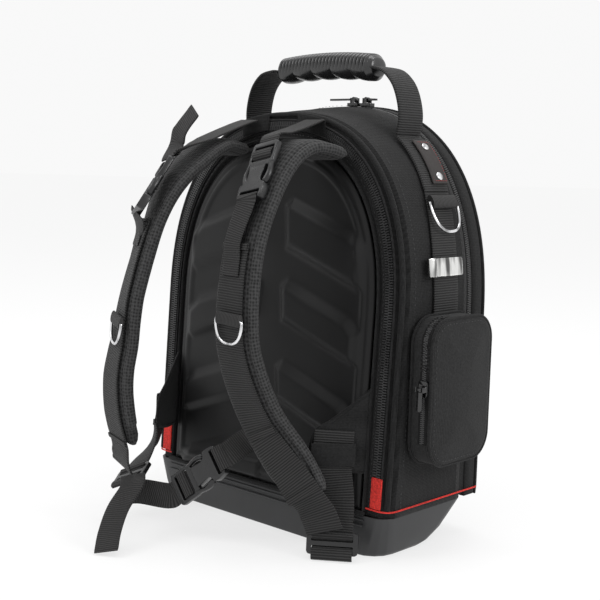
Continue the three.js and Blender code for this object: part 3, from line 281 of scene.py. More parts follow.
def pressed_leather(name, colour):
    made = Finish(name, colour, 0.5, gleam=0.35)
    spot = made.where("Object")
    pebble = made.holes(spot, 1.1)
    crease = made.speckle(spot, 5.0, 4.0)
    made.relief(made.sum((pebble, 0.6), (crease, 0.5)), 0.12)
    made.shade(crease, 0.7, 1.5, 0.3, 0.7)
    made.wear(crease, 0.42, 0.62)
    return made.material


def twisted_thread(name, colour):
    made = Finish(name, colour, 0.6, sheen=0.1, gleam=0.3)
    spot = made.where("Object")
    made.relief(made.speckle(spot, 0.25), 0.05)
    made.shade(made.speckle(spot, 0.6), 0.7, 1.3, 0.3, 0.7)
    return made.material


BODY_CLOTH = woven_cloth("body_cloth", (0.0108, 0.0108, 0.011))
POCKET_CLOTH = woven_cloth("pocket_cloth", (0.0148, 0.0148, 0.015), 1.2, 0.16)
BINDING = woven_cloth("binding_tape", (0.009, 0.009, 0.0092), 1.4, 0.35)
ZIP_TAPE = woven_cloth("zip_tape", (0.0055, 0.0055, 0.0057), 1.2, 0.2)
STRAP_MESH = mesh_cloth("strap_mesh", (0.0165, 0.0165, 0.0167))
STRAP_FACE = woven_cloth("strap_face_cloth", (0.012, 0.012, 0.0122), 1.3, 0.3)
STRAP_EDGE = mesh_cloth("strap_edge_cloth", (0.02, 0.02, 0.0202), 2.6, 0.6)
WEBBING = ribbed_webbing("webbing_ribbed", (0.0162, 0.016, 0.016))
WEBBING_FINE = ribbed_webbing("webbing_fine", (0.017, 0.0165, 0.0165), 2.1, 0.5)
FOAM = moulded_foam("panel_foam", (0.0048, 0.0048, 0.005))
TRAY = moulded_plastic("tray_plastic", (0.027, 0.0275, 0.0285), 0.42, 0.08, 0.5)
PLASTIC = moulded_plastic("buckle_plastic", (0.009, 0.009, 0.0095), 0.26, gleam=0.5)
COATED_METAL = moulded_plastic("coated_metal", (0.006, 0.006, 0.0063), 0.16, 0.01, gleam=0.7)
GRIP_RUBBER = moulded_plastic("grip_rubber", (0.012, 0.012, 0.0124), 0.24, 0.02, gleam=0.65)
ZIP_PLASTIC = moulded_plastic("zip_plastic", (0.034, 0.034, 0.0345), 0.3, gleam=0.45)
RED_TAPE = woven_cloth("red_tape", (0.5, 0.028, 0.022), 1.1, 0.2)
LEATHER = pressed_leather("patch_leather", (0.015, 0.0115, 0.0108))
# Both plated finishes carry painted reflections: dark and light upright bands in their colour.
CHROME = polished_metal("chromed_metal", (0.62, 0.62, 0.63), 0.12)
BRIGHT_STRIP = polished_metal("bright_strip", (0.56, 0.56, 0.55), 0.14, (0.2, 1.45))
GREY_THREAD = twisted_thread("grey_thread", (0.045, 0.045, 0.046))
RED_THREAD = twisted_thread("red_thread", (0.36, 0.03, 0.026))


# Making pieces

def finish_piece(name, bm, finish, slot, body="bag", stands_for=(), sharp=40.0):
    """Turns a bmesh in millimetres into a finished piece that rides on a body."""
    bmesh.ops.scale(bm, vec=(MM, MM, MM), verts=bm.verts)
    mesh = bpy.data.meshes.new(name)
    bm.to_mesh(mesh)
    bm.free()
    made = bpy.data.objects.new(name, mesh)
    bpy.context.scene.collection.objects.link(made)
    mesh.materials.append(finish)
    mesh.shade_smooth()
    mesh.set_sharp_from_angle(angle=math.radians(sharp))
    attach(made, body)
    if stands_for:
        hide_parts(*stands_for)
    return made


def walled(made, thick, offset=-1):
    """Gives a cloth or sheet piece its thickness."""
    wall = made.modifiers.new("wall", "SOLIDIFY")
    wall.thickness = thick * MM
    wall.offset = offset
    return made


def node_copy(node):
    """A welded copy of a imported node's mesh, in millimetres, without its inner flat edges."""
    bm = bmesh.new()
    bm.from_mesh(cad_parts[node].data)
    bmesh.ops.scale(bm, vec=(1 / MM,) * 3, verts=bm.verts)
    bmesh.ops.remove_doubles(bm, verts=bm.verts, dist=0.01)
    bmesh.ops.dissolve_limit(
        bm, angle_limit=math.radians(1), verts=bm.verts, edges=bm.edges, delimit={"NORMAL"})
    return bm


def round_edges(bm, width, segments=3, angle=25.0):
    """Rounds every edge that is sharper than an angle."""
    edges = [e for e in bm.edges if len(e.link_faces) == 2
             and e.calc_face_angle(0) > math.radians(angle)]
    bmesh.ops.bevel(
        bm, geom=edges, offset=width, offset_type="OFFSET", affect="EDGES", segments=segments,
        profile=0.5, material=-1, clamp_overlap=True)


def cut_plate(outline, openings, thick, bevel):
    """A moulded plate along x with its face along z: an outline with openings through it."""
    bm = bmesh.new()
    for loop in (outline, *openings):
        ring = [bm.verts.new((x, y, -thick / 2)) for x, y in loop]
        for a, b in zip(ring, ring[1:] + ring[:1]):
            bm.edges.new((a, b))
    bmesh.ops.triangle_fill(bm, edges=bm.edges, use_beauty=True, use_dissolve=True)
    made = bmesh.ops.extrude_face_region(
        bm, geom=bm.faces[:] + bm.edges[:] + bm.verts[:], use_keep_orig=True)
    bmesh.ops.translate(
        bm, vec=(0, 0, thick), verts=[v for v in made["geom"] if isinstance(v, bmesh.types.BMVert)])
    bmesh.ops.recalc_face_normals(bm, faces=bm.faces)
    round_edges(bm, bevel, 3, 50)
    return bm


def opening(middle, length, width, corner=0.8):
    """A slot through a plate, along x about its middle."""
    x, y = length / 2, width / 2
    return [(middle - x + corner, -y), (middle + x - corner, -y), (middle + x, -y + corner),
            (middle + x, y - corner), (middle + x - corner, y), (middle - x + corner, y),
            (middle - x, y - corner), (middle - x, -y + corner)]


def mirrored(half):
    """A closed outline from its half on the +y side, which runs along x."""
    return half + [(x, -y) for x, y in reversed(half)]


def seated(bm, along, across, out, at):
    """Stands a mesh drawn along x with its face along z at its place."""
    turn = Matrix((along, across, out)).transposed().to_4x4()
    bmesh.ops.transform(bm, matrix=Matrix.Translation(at) @ turn, verts=bm.verts)
    return bm


def laid_grid(across, along, place, spread=None):
    """A grid laid by place(i, j); spread(i, j) gives its UV in millimetres."""
    bm = bmesh.new()
    bmesh.ops.create_grid(bm, x_segments=across, y_segments=along, size=0.5)
    steps = {v: (round((v.co.x + 0.5) * across), round((v.co.y + 0.5) * along)) for v in bm.verts}
    layer = bm.loops.layers.uv.new("UVMap")
    for face in bm.faces:
        for loop in face.loops:
            i, j = steps[loop.vert]
            u, v = spread(i, j) if spread else (i, j)
            loop[layer].uv = (u * MM, v * MM)
    for vert, (i, j) in steps.items():
        vert.co = place(i, j)
    return bm


def weld(bm, dist=0.002):
    bmesh.ops.remove_doubles(bm, verts=bm.verts, dist=dist)


def close_holes(bm):
    bmesh.ops.holes_fill(bm, edges=[e for e in bm.edges if e.is_boundary], sides=0)
    bmesh.ops.recalc_face_normals(bm, faces=bm.faces)


def mix(a, b, share):
    return a + (b - a) * share


def power(value, exponent):
    return math.copysign(abs(value) ** exponent, value)


def smooth_step(value, low, high):
    share = min(max((value - low) / (high - low), 0.0), 1.0)
    return share * share * (3 - 2 * share)


def back_y(z):
    return -BACK_SET + BACK_LEAN * z


def spot_at(rows, t):
    """A point on the centripetal curve through rows, at t from 0 to 1."""
    spans = len(rows) - 1
    k = min(int(t * spans), spans - 1)
    w = t * spans - k
    p1, p2 = rows[k], rows[k + 1]
    p0 = rows[k - 1] if k > 0 else 2 * rows[0] - rows[1]
    p3 = rows[k + 2] if k + 2 <= spans else 2 * rows[-1] - rows[-2]
    d0, d1, d2 = (max((b - a).length, 1e-4) ** 0.5 for a, b in ((p0, p1), (p1, p2), (p2, p3)))
    t1 = ((p1 - p0) / d0 - (p2 - p0) / (d0 + d1) + (p2 - p1) / d1) * d1
    t2 = ((p2 - p1) / d1 - (p3 - p1) / (d1 + d2) + (p3 - p2) / d2) * d1
    return p1 + t1 * w + (3 * (p2 - p1) - 2 * t1 - t2) * w ** 2 + (2 * (p1 - p2) + t1 + t2) * w ** 3


class Station:
    """One place along a band: its point, the way across it, its face and its width share."""

    def __init__(self, point, along, lean, width=1.0):
        self.point = point
        self.along = along.normalized()
        self.face = self.along.cross(lean).normalized()
        self.across = self.face.cross(self.along).normalized()
        self.width = width
        self.run = 0.0

    def at(self, a, b):
        return self.point + self.across * a + self.face * b


def measured(line):
    """Gives each station its running length along the line."""
    for before, after in zip(line, line[1:]):
        after.run = before.run + (after.point - before.point).length
    return line


def stations(rows, per_span=8):
    """Stations along (point, across, width) rows."""
    points = [r[0] for r in rows]
    spans = len(rows) - 1
    line = []
    for n in range(spans * per_span + 1):
        t = n / (spans * per_span)
        k = min(int(t * spans), spans - 1)
        part = t * spans - k
        along = spot_at(points, min(t + 1e-4, 1)) - spot_at(points, max(t - 1e-4, 0))
        lean = rows[k][1].lerp(rows[k + 1][1], part)
        line.append(Station(spot_at(points, t), along, lean, mix(rows[k][2], rows[k + 1][2], part)))
    return measured(line)


def swept(line, loop, joined=False, shape=None):
    """A closed body: a loop of (across, out) offsets carried along stations; shape(i, station)
    may give that place's own offset instead."""
    count = len(loop)
    girth = [0.0]
    for k in range(count):
        a, b = loop[k], loop[(k + 1) % count]
        girth.append(girth[-1] + math.dist(a, b))

    def place(i, j):
        s = line[j % len(line)] if joined else line[j]
        a, b = shape(i % count, s) if shape else loop[i % count]
        return s.at(a, b)

    last = len(line) if joined else len(line) - 1
    runs = [s.run for s in line] + [line[-1].run + 1]
    bm = laid_grid(count, last, place, lambda i, j: (girth[i], runs[j]))
    weld(bm)
    if joined:
        bmesh.ops.recalc_face_normals(bm, faces=bm.faces)
    else:
        close_holes(bm)
    return bm


def flat_loop(width, thick, steps=8, crown=0.0):
    """Section of a webbing: flat faces and rounded selvedges, from edge to edge and back."""
    w, t = width / 2, thick / 2
    top = [(mix(-w + t, w - t, k / steps), 1) for k in range(steps + 1)]
    loop = [(x, t + crown * (1 - (x / w) ** 2)) for x, _ in top]
    loop += [(w - t * 0.3, t * 0.72), (w, 0), (w - t * 0.3, -t * 0.72)]
    loop += [(x, -t + crown * (1 - (x / w) ** 2)) for x, _ in reversed(top)]
    loop += [(-w + t * 0.3, -t * 0.72), (-w, 0), (-w + t * 0.3, t * 0.72)]
    return loop


def round_loop(radius, sides=10):
    return [(radius * math.cos(2 * math.pi * k / sides), radius * math.sin(2 * math.pi * k / sides))
            for k in range(sides)]


def band(name, line, width, thick, finish=WEBBING, slot="webbing", stands_for=()):
    """A webbing along stations; a melted end is slightly thinner."""
    loop = flat_loop(width, thick)
    last = line[-1].run

    def shape(i, s):
        a, b = loop[i]
        pinch = min(s.run, last - s.run, MELTED_END) / MELTED_END
        return a * s.width * (0.985 + 0.015 * pinch), b * (0.55 + 0.45 * pinch)

    bm = swept(line, loop, shape=shape)
    return finish_piece(name, bm, finish, slot, "bag", stands_for)


def raised(line, by):
    """The same stations, moved out along their faces."""
    made = []
    for s in line:
        copy = Station(s.at(0, by), s.along, s.across, s.width)
        copy.run = s.run
        made.append(copy)
    return made


def stitches(name, runs, finish, length, gap, radius, slot):
    """Rows of thread: each run is a list of (point, outward) pairs, one stitch between steps."""
    bm = bmesh.new()
    for run in runs:
        left = 0.0
        for (a, out), (b, _) in zip(run, run[1:]):
            way = b - a
            size = way.length
            if size < 1e-6:
                continue
            way.normalize()
            across = out.cross(way).normalized()
            spot = left
            while spot + length <= size + 0.01:
                middle = a + way * (spot + length / 2) + out * radius * 0.5
                turn = Matrix((across, way, out.normalized())).transposed().to_4x4()
                matrix = Matrix.Translation(middle) @ turn @ Matrix.Diagonal(
                    (radius * 2, length, radius * 1.3, 1))
                bmesh.ops.create_icosphere(bm, subdivisions=1, radius=0.5, matrix=matrix)
                spot += length + gap
            left = max(spot - size, 0.0)
    return finish_piece(name, bm, finish, slot)


# The bag's arched walls

def arch_spot(t, inset, share, shift, low):
    """A place on the arch: t runs from 0 at the right foot over the top to 1 at the left."""
    half = HALF - inset
    top = mix(BACK_TOP, FRONT_TOP, share) - inset
    if t < ARCH_STRAIGHT or t > 1 - ARCH_STRAIGHT:
        side = 1 if t < 0.5 else -1
        x = side * half
        z = mix(low, SPRING, min(t, 1 - t) / ARCH_STRAIGHT)
    else:
        angle = math.pi * (t - ARCH_STRAIGHT) / (1 - 2 * ARCH_STRAIGHT)
        x = half * power(math.cos(angle), 2 / ARCH_POWER)
        z = mix(SPRING, top, max(math.sin(angle), 0) ** (2 / ARCH_POWER))
    return Vector((x, mix(back_y(z), FRONT_SET, share) + shift, z))


def arch_line(inset, share, shift, low, count=ARCH_STEPS):
    """Stations along the arch, with their face outwards."""
    points = [arch_spot(k / count, inset, share, shift, low) for k in range(count + 1)]
    line = []
    for k, point in enumerate(points):
        along = points[min(k + 1, count)] - points[max(k - 1, 0)]
        line.append(Station(point, along, Vector((0, -1, 0))))
    return measured(line)


def arch_shell(name, profile, low, thick, finish, slot, stands_for, ripple=0.0,
               count=ARCH_STEPS):
    """A cloth shell over the arch through (inset, share, shift) stations, with its thickness
    on the inside."""
    girth = [0.0]
    for (a, s, f), (b, t, g) in zip(profile, profile[1:]):
        girth.append(girth[-1] + math.hypot(b - a, (t - s) * 150 + g - f))

    def place(i, j):
        inset, share, shift = profile[i]
        spot = arch_spot(j / count, inset, share, shift, low)
        if ripple and 0 < i < len(profile) - 1:
            sway = noise.noise(spot * 0.016) + 0.4 * noise.noise(spot * 0.05)
            edge = min(girth[i], girth[-1] - girth[i]) / 40
            outward = Vector((spot.x / HALF, 0, max(spot.z - SPRING, 0) / 200))
            spot += outward * sway * ripple * min(edge, 1)
        return spot

    runs = [ARCH_RUN * j / count for j in range(count + 1)]
    bm = laid_grid(len(profile) - 1, count, place, lambda i, j: (girth[i], runs[j]))
    bm.normal_update()
    middle = Vector((0, 0, SPRING))
    facing = sum((f.calc_center_median() - middle).dot(f.normal) for f in bm.faces)
    if facing < 0:
        bmesh.ops.reverse_faces(bm, faces=bm.faces)
    return walled(finish_piece(name, bm, finish, slot, "bag", stands_for), thick)


def corner_profile():
    """The gusset from the flange round the back corner to the front zip."""
    flat = [(mix(FLANGE_WIDTH, CORNER_CUT, k / 6), 0.0, FLANGE_SET) for k in range(7)]
    bend = []
    for k in range(1, 5):
        share = k / 5
        pull = math.sin(math.pi * share) * 0.5
        bend.append((CORNER_CUT * (1 - share) + pull, 0.0, FLANGE_SET + CORNER_CUT * share + pull))
    start = (0.0, 0.0, FLANGE_SET + CORNER_CUT)
    side = [(0.0, k / 16, mix(start[2], GUSSET_END - FRONT_SET, k / 16)) for k in range(17)]
    return flat + bend + side


arch_shell("gusset_cloth", corner_profile(), BODY_LOW, CLOTH_THICK, BODY_CLOTH, "body_fabric",
           ["body_gusset"], ripple=1.4)


def seam_line(name, inset, share, shift, low, facing=None):
    """A row of stitches along the arch."""
    line = arch_line(inset, share, shift, low, 220)
    run = [(s.point, facing or s.face) for s in line]
    return stitches(name, [run], GREY_THREAD, 3.0, 1.3, 0.32, "body_fabric")


seam_line("gusset_seam_back", -0.4, 0.0, FLANGE_SET + CORNER_CUT + 7, BODY_LOW + 8)
seam_line("gusset_seam_front", -0.4, 1.0, GUSSET_END - FRONT_SET - 5, BODY_LOW + 8)
seam_line("flange_seam", FLANGE_WIDTH - 8.2, 0.0, FLANGE_SET - 0.3, BODY_LOW + 8, Vector((0, -1, 0)))


# Back edge: covered piping, zip with its teeth, binding and red end tabs

PIPING_RADIUS = 2.8
PIPING_LOW = 48.4
piping_seat = CORNER_CUT / 2 - (PIPING_RADIUS + GAP) / math.sqrt(2)
piping = arch_line(piping_seat, 0.0, FLANGE_SET + piping_seat, PIPING_LOW)
finish_piece("edge_piping_cord", swept(piping, round_loop(PIPING_RADIUS, 12)), BINDING, "body_fabric",
             stands_for=["edge_piping"])


def arch_tape(name, inset, width, shift, thick, low, finish, slot, stands_for=()):
    """A flat tape on the face of the arch, its edges at inset -/+ half its width."""
    loop = flat_loop(width, thick, 6)

    def place(i, j):
        a, b = loop[i % len(loop)]
        return arch_spot(j / ARCH_STEPS, inset + a, 0.0, shift - (b + thick / 2), low)

    runs = [ARCH_RUN * j / ARCH_STEPS for j in range(ARCH_STEPS + 1)]
    bm = laid_grid(len(loop), ARCH_STEPS, place, lambda i, j: (loop[i % len(loop)][0] + width, runs[j]))
    weld(bm)
    close_holes(bm)
    return finish_piece(name, bm, finish, slot, "bag", stands_for)


ZIP_INSET = 14.5
ZIP_WIDTH = 11.0
ZIP_SEAT = FLANGE_SET - GAP
ZIP_END = 78.0


def teeth(name, line, pitch, width, height, finish):
    """Two rows of coil teeth that meet along a line, raised on its face."""
    bm = bmesh.new()
    total = line[-1].run
    k = 0
    run = pitch / 2
    while run < total:
        while line[k + 1].run < run:
            k += 1
        a, b = line[k], line[k + 1]
        share = (run - a.run) / (b.run - a.run)
        point = a.point.lerp(b.point, share)
        along = (b.point - a.point).normalized()
        turn = Matrix((a.across, along, a.face)).transposed().to_4x4()
        for side, shift in ((-1, 0.0), (1, pitch / 2)):
            spot = point + a.across * side * width * 0.23 + along * shift + a.face * height * 0.3
            matrix = Matrix.Translation(spot) @ turn @ Matrix.Diagonal(
                (width * 0.54, pitch * 0.52, height, 1))
            tooth = bmesh.ops.create_cube(bm, size=1, matrix=matrix)["verts"]
            edges = {e for v in tooth for e in v.link_edges
                     if abs((e.verts[0].co - e.verts[1].co).normalized().dot(a.across)) > 0.9
                     and (e.verts[0].co - spot).dot(a.face) > 0}
            bmesh.ops.bevel(bm, geom=list(edges), offset=pitch * 0.2, affect="EDGES", segments=2,
                            profile=0.5, material=-1)
        run += pitch
    return finish_piece(name, bm, finish, "zip")


arch_tape("back_zip_tape", ZIP_INSET, ZIP_WIDTH + 1.5, ZIP_SEAT, 1.0, ZIP_END + GAP, ZIP_TAPE, "zip",
          ["back_zip"])
zip_line = arch_line(ZIP_INSET, 0.0, ZIP_SEAT - 1.0, ZIP_END + GAP, 200)
for spot in zip_line:
    spot.face = Vector((0, -1, 0))
    spot.across = spot.face.cross(spot.along).normalized()
teeth("back_zip_teeth", zip_line, 2.5, 8.6, 2.0, ZIP_PLASTIC)
for edge, inset in (("outer", ZIP_INSET - 5.6), ("inner", ZIP_INSET + 5.6)):
    tube = arch_line(inset, 0.0, ZIP_SEAT - 0.6, ZIP_END, 150)
    finish_piece(f"zip_fold_{edge}", swept(tube, [(a, b * 0.8) for a, b in round_loop(1.25, 8)]),
                 BODY_CLOTH, "body_fabric")
binding = arch_line(FLANGE_WIDTH - 4.0, 0.0, FLANGE_SET - 1.2, BODY_LOW + 4, 150)
finish_piece("panel_binding", swept(binding, [(a * 3.6, b * 1.5) for a, b in round_loop(1.0, 12)]),
             BINDING, "body_fabric")

for name, side in (("left", -1), ("right", 1)):
    x = side * (HALF - ZIP_INSET)
    rows = [(Vector((x, back_y(z) + ZIP_SEAT - 0.7, z)), Vector((1, 0, 0)), 1.0)
            for z in (48.4, 58.0, 68.0, 78.0)]
    band(f"zip_tab_red_{name}", stations(rows, 4), 13.0, 1.4, RED_TAPE, "red_fabric",
         [f"zip_tab_{name}"])
    frame_of_tab = [[(Vector((x + a, back_y(z) + ZIP_SEAT - 1.4, z)), Vector((0, -1, 0)))
                     for a, z in ((-5, 50), (5, 50), (5, 76.5), (-5, 76.5), (-5, 50))]]
    stitches(f"zip_tab_thread_{name}", frame_of_tab, RED_THREAD, 2.0, 1.0, 0.22, "red_fabric")


# Red line over the base

def base_outline(out, corner_front, corner_back, steps=6):
    """Points round the bag above the tray, from the right back foot round the front."""
    low = back_y(47.0) + FLANGE_SET - out
    high = FRONT_SET + out
    points = [Vector((HALF - FLANGE_WIDTH + 3, low, 0))]
    corners = ((1, low, corner_back, -1), (1, high, corner_front, 0), (-1, high, corner_front, 1),
               (-1, low, corner_back, 2))
    for side, y, radius, quarter in corners:
        inward = 1 if y == low else -1
        centre = Vector((side * (HALF + out - radius), y + inward * radius, 0))
        for k in range(steps + 1):
            angle = math.pi / 2 * (quarter + k / steps)
            points.append(centre + Vector((math.cos(angle), math.sin(angle), 0)) * radius)
    points.append(Vector((-HALF + FLANGE_WIDTH - 3, low, 0)))
    return points


def ground_line(points, z):
    """Stations round the bag at one height, their face outwards."""
    line = []
    for k, point in enumerate(points):
        along = points[min(k + 1, len(points) - 1)] - points[max(k - 1, 0)]
        station = Station(point + Vector((0, 0, z)), along, Vector((0, 0, 1)))
        line.append(station)
    return measured(line)


LINE_RADIUS = 1.1
LINE_SET = GAP + LINE_RADIUS
red_line = ground_line(base_outline(LINE_SET, 4.8 + LINE_SET, CORNER_CUT + LINE_SET), 47.0)
finish_piece("base_line_red", swept(red_line, round_loop(LINE_RADIUS * 0.75, 8)), RED_TAPE, "red_fabric",
             stands_for=["base_piping"])


# Front lid

def lid_cloth():
    """The crowned front pan: rings from the rim round its bevel to the middle."""
    rows = [(0.0, -21.0), (0.0, -13.0), (0.0, -6.0), (1.2, -2.6), (3.2, -0.8), (6.5, 0.6), (12.0, 1.5),
            (24.0, 2.1), (45.0, 2.8), (70.0, 3.2), (99.0, 3.5)]
    rows += [(None, k / 4) for k in range(1, 5)]
    around = 170
    foot = 0.85
    middle = Vector((0, FRONT_SET + 3.6, 228.0))

    def rim(i, inset, shift):
        t = (i % around) / around
        low = BODY_LOW + inset
        if t <= foot:
            return arch_spot(t / foot, inset, 1.0, shift, low)
        share = (t - foot) / (1 - foot)
        right = arch_spot(0, inset, 1.0, shift, low)
        left = arch_spot(1, inset, 1.0, shift, low)
        return left.lerp(right, share)

    def place(i, j):
        inset, shift = rows[j]
        if inset is None:
            return rim(i, *rows[10]).lerp(middle, shift)
        spot = rim(i, inset, shift)
        if inset > 8:
            spot.y += 1.2 * noise.noise(spot * 0.013)
        return spot

    reach = [sum(math.dist(a if a[0] is not None else (99 + 25 * a[1], 3.5),
                           b if b[0] is not None else (99 + 25 * b[1], 3.5))
                 for a, b in zip(rows[:k], rows[1:k + 1])) for k in range(len(rows))]
    bm = laid_grid(around, len(rows) - 1, place, lambda i, j: (i * 6.0, reach[j]))
    weld(bm)
    bmesh.ops.recalc_face_normals(bm, faces=bm.faces)
    if sum(f.normal.y for f in bm.faces) < 0:
        bmesh.ops.reverse_faces(bm, faces=bm.faces)
    walled(finish_piece("lid_cloth", bm, BODY_CLOTH, "body_fabric", stands_for=["front_cover"]),
           CLOTH_THICK)
    return rim


lid_rim = lid_cloth()
lid_seam = [(lid_rim(i, 9.0, 1.0), Vector((0, 1, 0))) for i in range(171)]
stitches("lid_seam_thread", [lid_seam], GREY_THREAD, 3.0, 1.3, 0.3, "body_fabric")


def lid_piping():
    points = [lid_rim(i, 0.6, -1.6) for i in range(170)]
    line = []
    for k, point in enumerate(points):
        along = points[(k + 1) % 170] - points[k - 1]
        line.append(Station(point, along, Vector((0, 1, 0))))
    measured(line)
    finish_piece("lid_piping", swept(line, round_loop(1.9, 8), joined=True), BINDING, "body_fabric")


lid_piping()


def front_zip():
    """The tape and coil between the gusset and the lid, over the arch."""
    low = 110.0
    loop = [(0.8, -30.3), (0.8, -21.3), (1.9, -21.3), (1.9, -30.3)]

    def place(i, j):
        inset, shift = loop[i % 4]
        return arch_spot(j / ARCH_STEPS, inset, 1.0, shift, low)

    bm = laid_grid(4, ARCH_STEPS, place, lambda i, j: (i * 9.0, 5.8 * j))
    weld(bm)
    close_holes(bm)
    finish_piece("front_zip_tape", bm, ZIP_TAPE, "zip", stands_for=["front_zip"])
    line = arch_line(0.9, 1.0, -25.8, low, 200)
    for s in line:
        s.face = Vector((0, 1, 0)).cross(s.along).normalized()
        if s.face.dot(s.point - Vector((0, 0, 200))) < 0:
            s.face.negate()
        s.across = Vector((0, 1, 0))
    teeth("front_zip_teeth", line, 2.2, 6.0, 1.3, ZIP_PLASTIC)


front_zip()

for name, side in (("left", -1), ("right", 1)):
    rows = [(Vector((side * (HALF - 2.2), (GUSSET_END + ZIP_FRONT) / 2, z)), Vector((0, 1, 0)), 1.0)
            for z in (43.0, 65.0, 88.0, 110.0)]
    band(f"lid_hinge_{name}", stations(rows, 4), 14.0, 2.0, BODY_CLOTH, "body_fabric")


# Moulded back panel

PAD_TOP = 338.0
PAD_PITCH = 81.0
PAD_HEIGHT = 54.0
PAD_DROP = 36.0
PAD_INNER = 13.0
PAD_OUTER = 122.0
PAD_RISE = 7.0
PAD_ROWS = ((0, 1.0), (1, 0.84), (2, 0.8), (3, 0.46))
PANEL_LOW = 44.0
PANEL_TOP = BACK_TOP - FLANGE_WIDTH - 0.5


def pad_corners(step, share):
    top = PAD_TOP - step * PAD_PITCH
    height = PAD_HEIGHT * share
    clip = 10.0
    return [
        (PAD_INNER, top - clip), (PAD_INNER + clip, top - clip * 0.3),
        (PAD_OUTER - clip * 1.6, top - PAD_DROP + clip * 0.4), (PAD_OUTER, top - PAD_DROP - clip),
        (PAD_OUTER, top - PAD_DROP - height + clip * 0.4),
        (PAD_OUTER - clip, top - PAD_DROP - height + clip * 0.3), (PAD_INNER + clip * 0.4, top - height)]


PADS = [pad_corners(*row) for row in PAD_ROWS]


def inside_by(corners, x, z):
    """How far a place lies inside a convex outline, negative outside it."""
    near = 1e9
    for (ax, az), (bx, bz) in zip(corners, corners[1:] + corners[:1]):
        ex, ez = bx - ax, bz - az
        near = min(near, ((z - az) * ex - (x - ax) * ez) / -math.hypot(ex, ez))
    return near


def panel_rise(x, z, edge):
    """Relief of the panel over its flat back, in millimetres."""
    rise = 0.0
    for corners in PADS:
        deep = inside_by(corners, abs(x), z)
        if deep > -2.5:
            rise = max(rise, PAD_RISE * smooth_step(deep, -2.5, 10.5))
    spine = max(abs(x) - 7.5, abs(z - 189.0) - 95.0)
    rise -= 3.2 * smooth_step(-spine, -2.5, 2.5)
    rise += 1.5 * smooth_step(edge, 8.0, 11.0) * (1 - smooth_step(edge, 13.0, 17.0))
    badge = min(23.0 - abs(x + 24.0), 8.5 - abs(z - 56.5))
    rise = max(rise, 3.0 * smooth_step(badge, -1.0, 1.6))
    return rise - 3.0 * (1 - smooth_step(edge, -0.5, 5.0))


def panel_half(z):
    """Half the width of the panel at a height."""
    half = HALF - FLANGE_WIDTH - 0.5
    if z <= SPRING:
        return half
    part = (z - SPRING) / (PANEL_TOP - SPRING)
    return half * max(1 - part ** ARCH_POWER, 0) ** (1 / ARCH_POWER)


def back_panel():
    across, up = 150, 210
    levels = []
    for j in range(up + 1):
        share = j / up
        if share < 0.55:
            levels.append(mix(PANEL_LOW, SPRING, share / 0.55))
        else:
            angle = math.pi / 2 * (share - 0.55) / 0.45
            levels.append(mix(SPRING, PANEL_TOP, math.sin(angle) ** (2 / ARCH_POWER)))

    def place(i, j):
        z = levels[j]
        half = panel_half(z)
        x = half * (2 * i / across - 1)
        edge = min(half - abs(x), z - PANEL_LOW, PANEL_TOP - z + 2.0)
        if z > SPRING:
            far = ((abs(x) / (HALF - 31.5)) ** ARCH_POWER
                   + ((z - SPRING) / (PANEL_TOP - SPRING)) ** ARCH_POWER) ** (1 / ARCH_POWER)
            edge = min(edge, (1 - far) * 150.0)
        return Vector((x, back_y(z) - panel_rise(x, z, max(edge, 0.0)), z))

    bm = laid_grid(across, up, place, lambda i, j: (i * 1.8, j * 1.65))
    weld(bm)
    bmesh.ops.recalc_face_normals(bm, faces=bm.faces)
    if sum(f.normal.y for f in bm.faces) > 0:
        bmesh.ops.reverse_faces(bm, faces=bm.faces)
    made = finish_piece("back_panel_foam", bm, FOAM, "moulded_foam", stands_for=["back_panel"], sharp=60)
    walled(made, 4.5)


back_panel()


# Base tray

def base_tray():
    bm = node_copy("base_tray")
    round_edges(bm, 1.4, 3, 12)
    finish_piece("tray_shell", bm, TRAY, "tray_plastic", stands_for=["base_tray"], sharp=30)
    for name, z, depth, radius, finish, slot in (
            ("tray_rib_upper", 36.0, 0.2, 0.9, TRAY, "tray_plastic"),
            ("tray_rib_lower", 30.5, 0.0, 0.9, TRAY, "tray_plastic"),
            ("base_binding", 42.2, 0.6, 2.3, BINDING, "body_fabric")):
        rows = [(Vector((x, back_y(z) + depth, z)), Vector((0, 0, 1)), 1.0) for x in (-140, -60, 60, 140)]
        finish_piece(name, swept(stations(rows, 12), round_loop(radius, 10)), finish, slot)


base_tray()


# Straps, webbings and fittings on them

BACK_HEIGHT = BACK_TOP
RIGHT_STRAP = [
    (0.415, 0.032, 0.9, 0, 1), (0.41, 0.16, 0.905, 0, 1), (0.38, 0.42, 0.914, 0, 1),
    (0.362, 0.61, 0.9, 0, 1), (0.352, 0.77, 0.86, -6, 1), (0.35, 0.95, 0.784, -10, 1),
    (0.346, 1.08, 0.7, -10, 1), (0.343, 1.125, 0.594, -8, 1), (0.34, 1.09, 0.487, -4, 1),
    (0.355, 0.907, 0.38, 2, 1), (0.41, 0.72, 0.292, 6, 1), (0.523, 0.59, 0.221, 12, 0.95),
    (0.632, 0.5, 0.162, 18, 0.76)]
RIGHT_TAIL = [(0.7, 0.47, 0.122, 20, 1), (0.728, 0.42, 0.094, 22, 1), (0.745, 0.376, 0.0672, 24, 1)]
LEFT_STRAP = [
    (-0.4, 0.03, 0.905, 0, 1), (-0.395, 0.16, 0.91, 0, 1), (-0.36, 0.45, 0.913, 0, 1),
    (-0.325, 0.8, 0.871, -8, 1), (-0.305, 1.1, 0.815, -20, 1), (-0.305, 1.29, 0.735, -28, 1),
    (-0.325, 1.39, 0.645, -30, 1), (-0.355, 1.455, 0.556, -28, 1), (-0.385, 1.47, 0.462, -22, 1),
    (-0.425, 1.475, 0.375, -18, 1), (-0.437, 1.41, 0.29, -15, 1), (-0.44, 1.29, 0.22, -14, 0.76)]
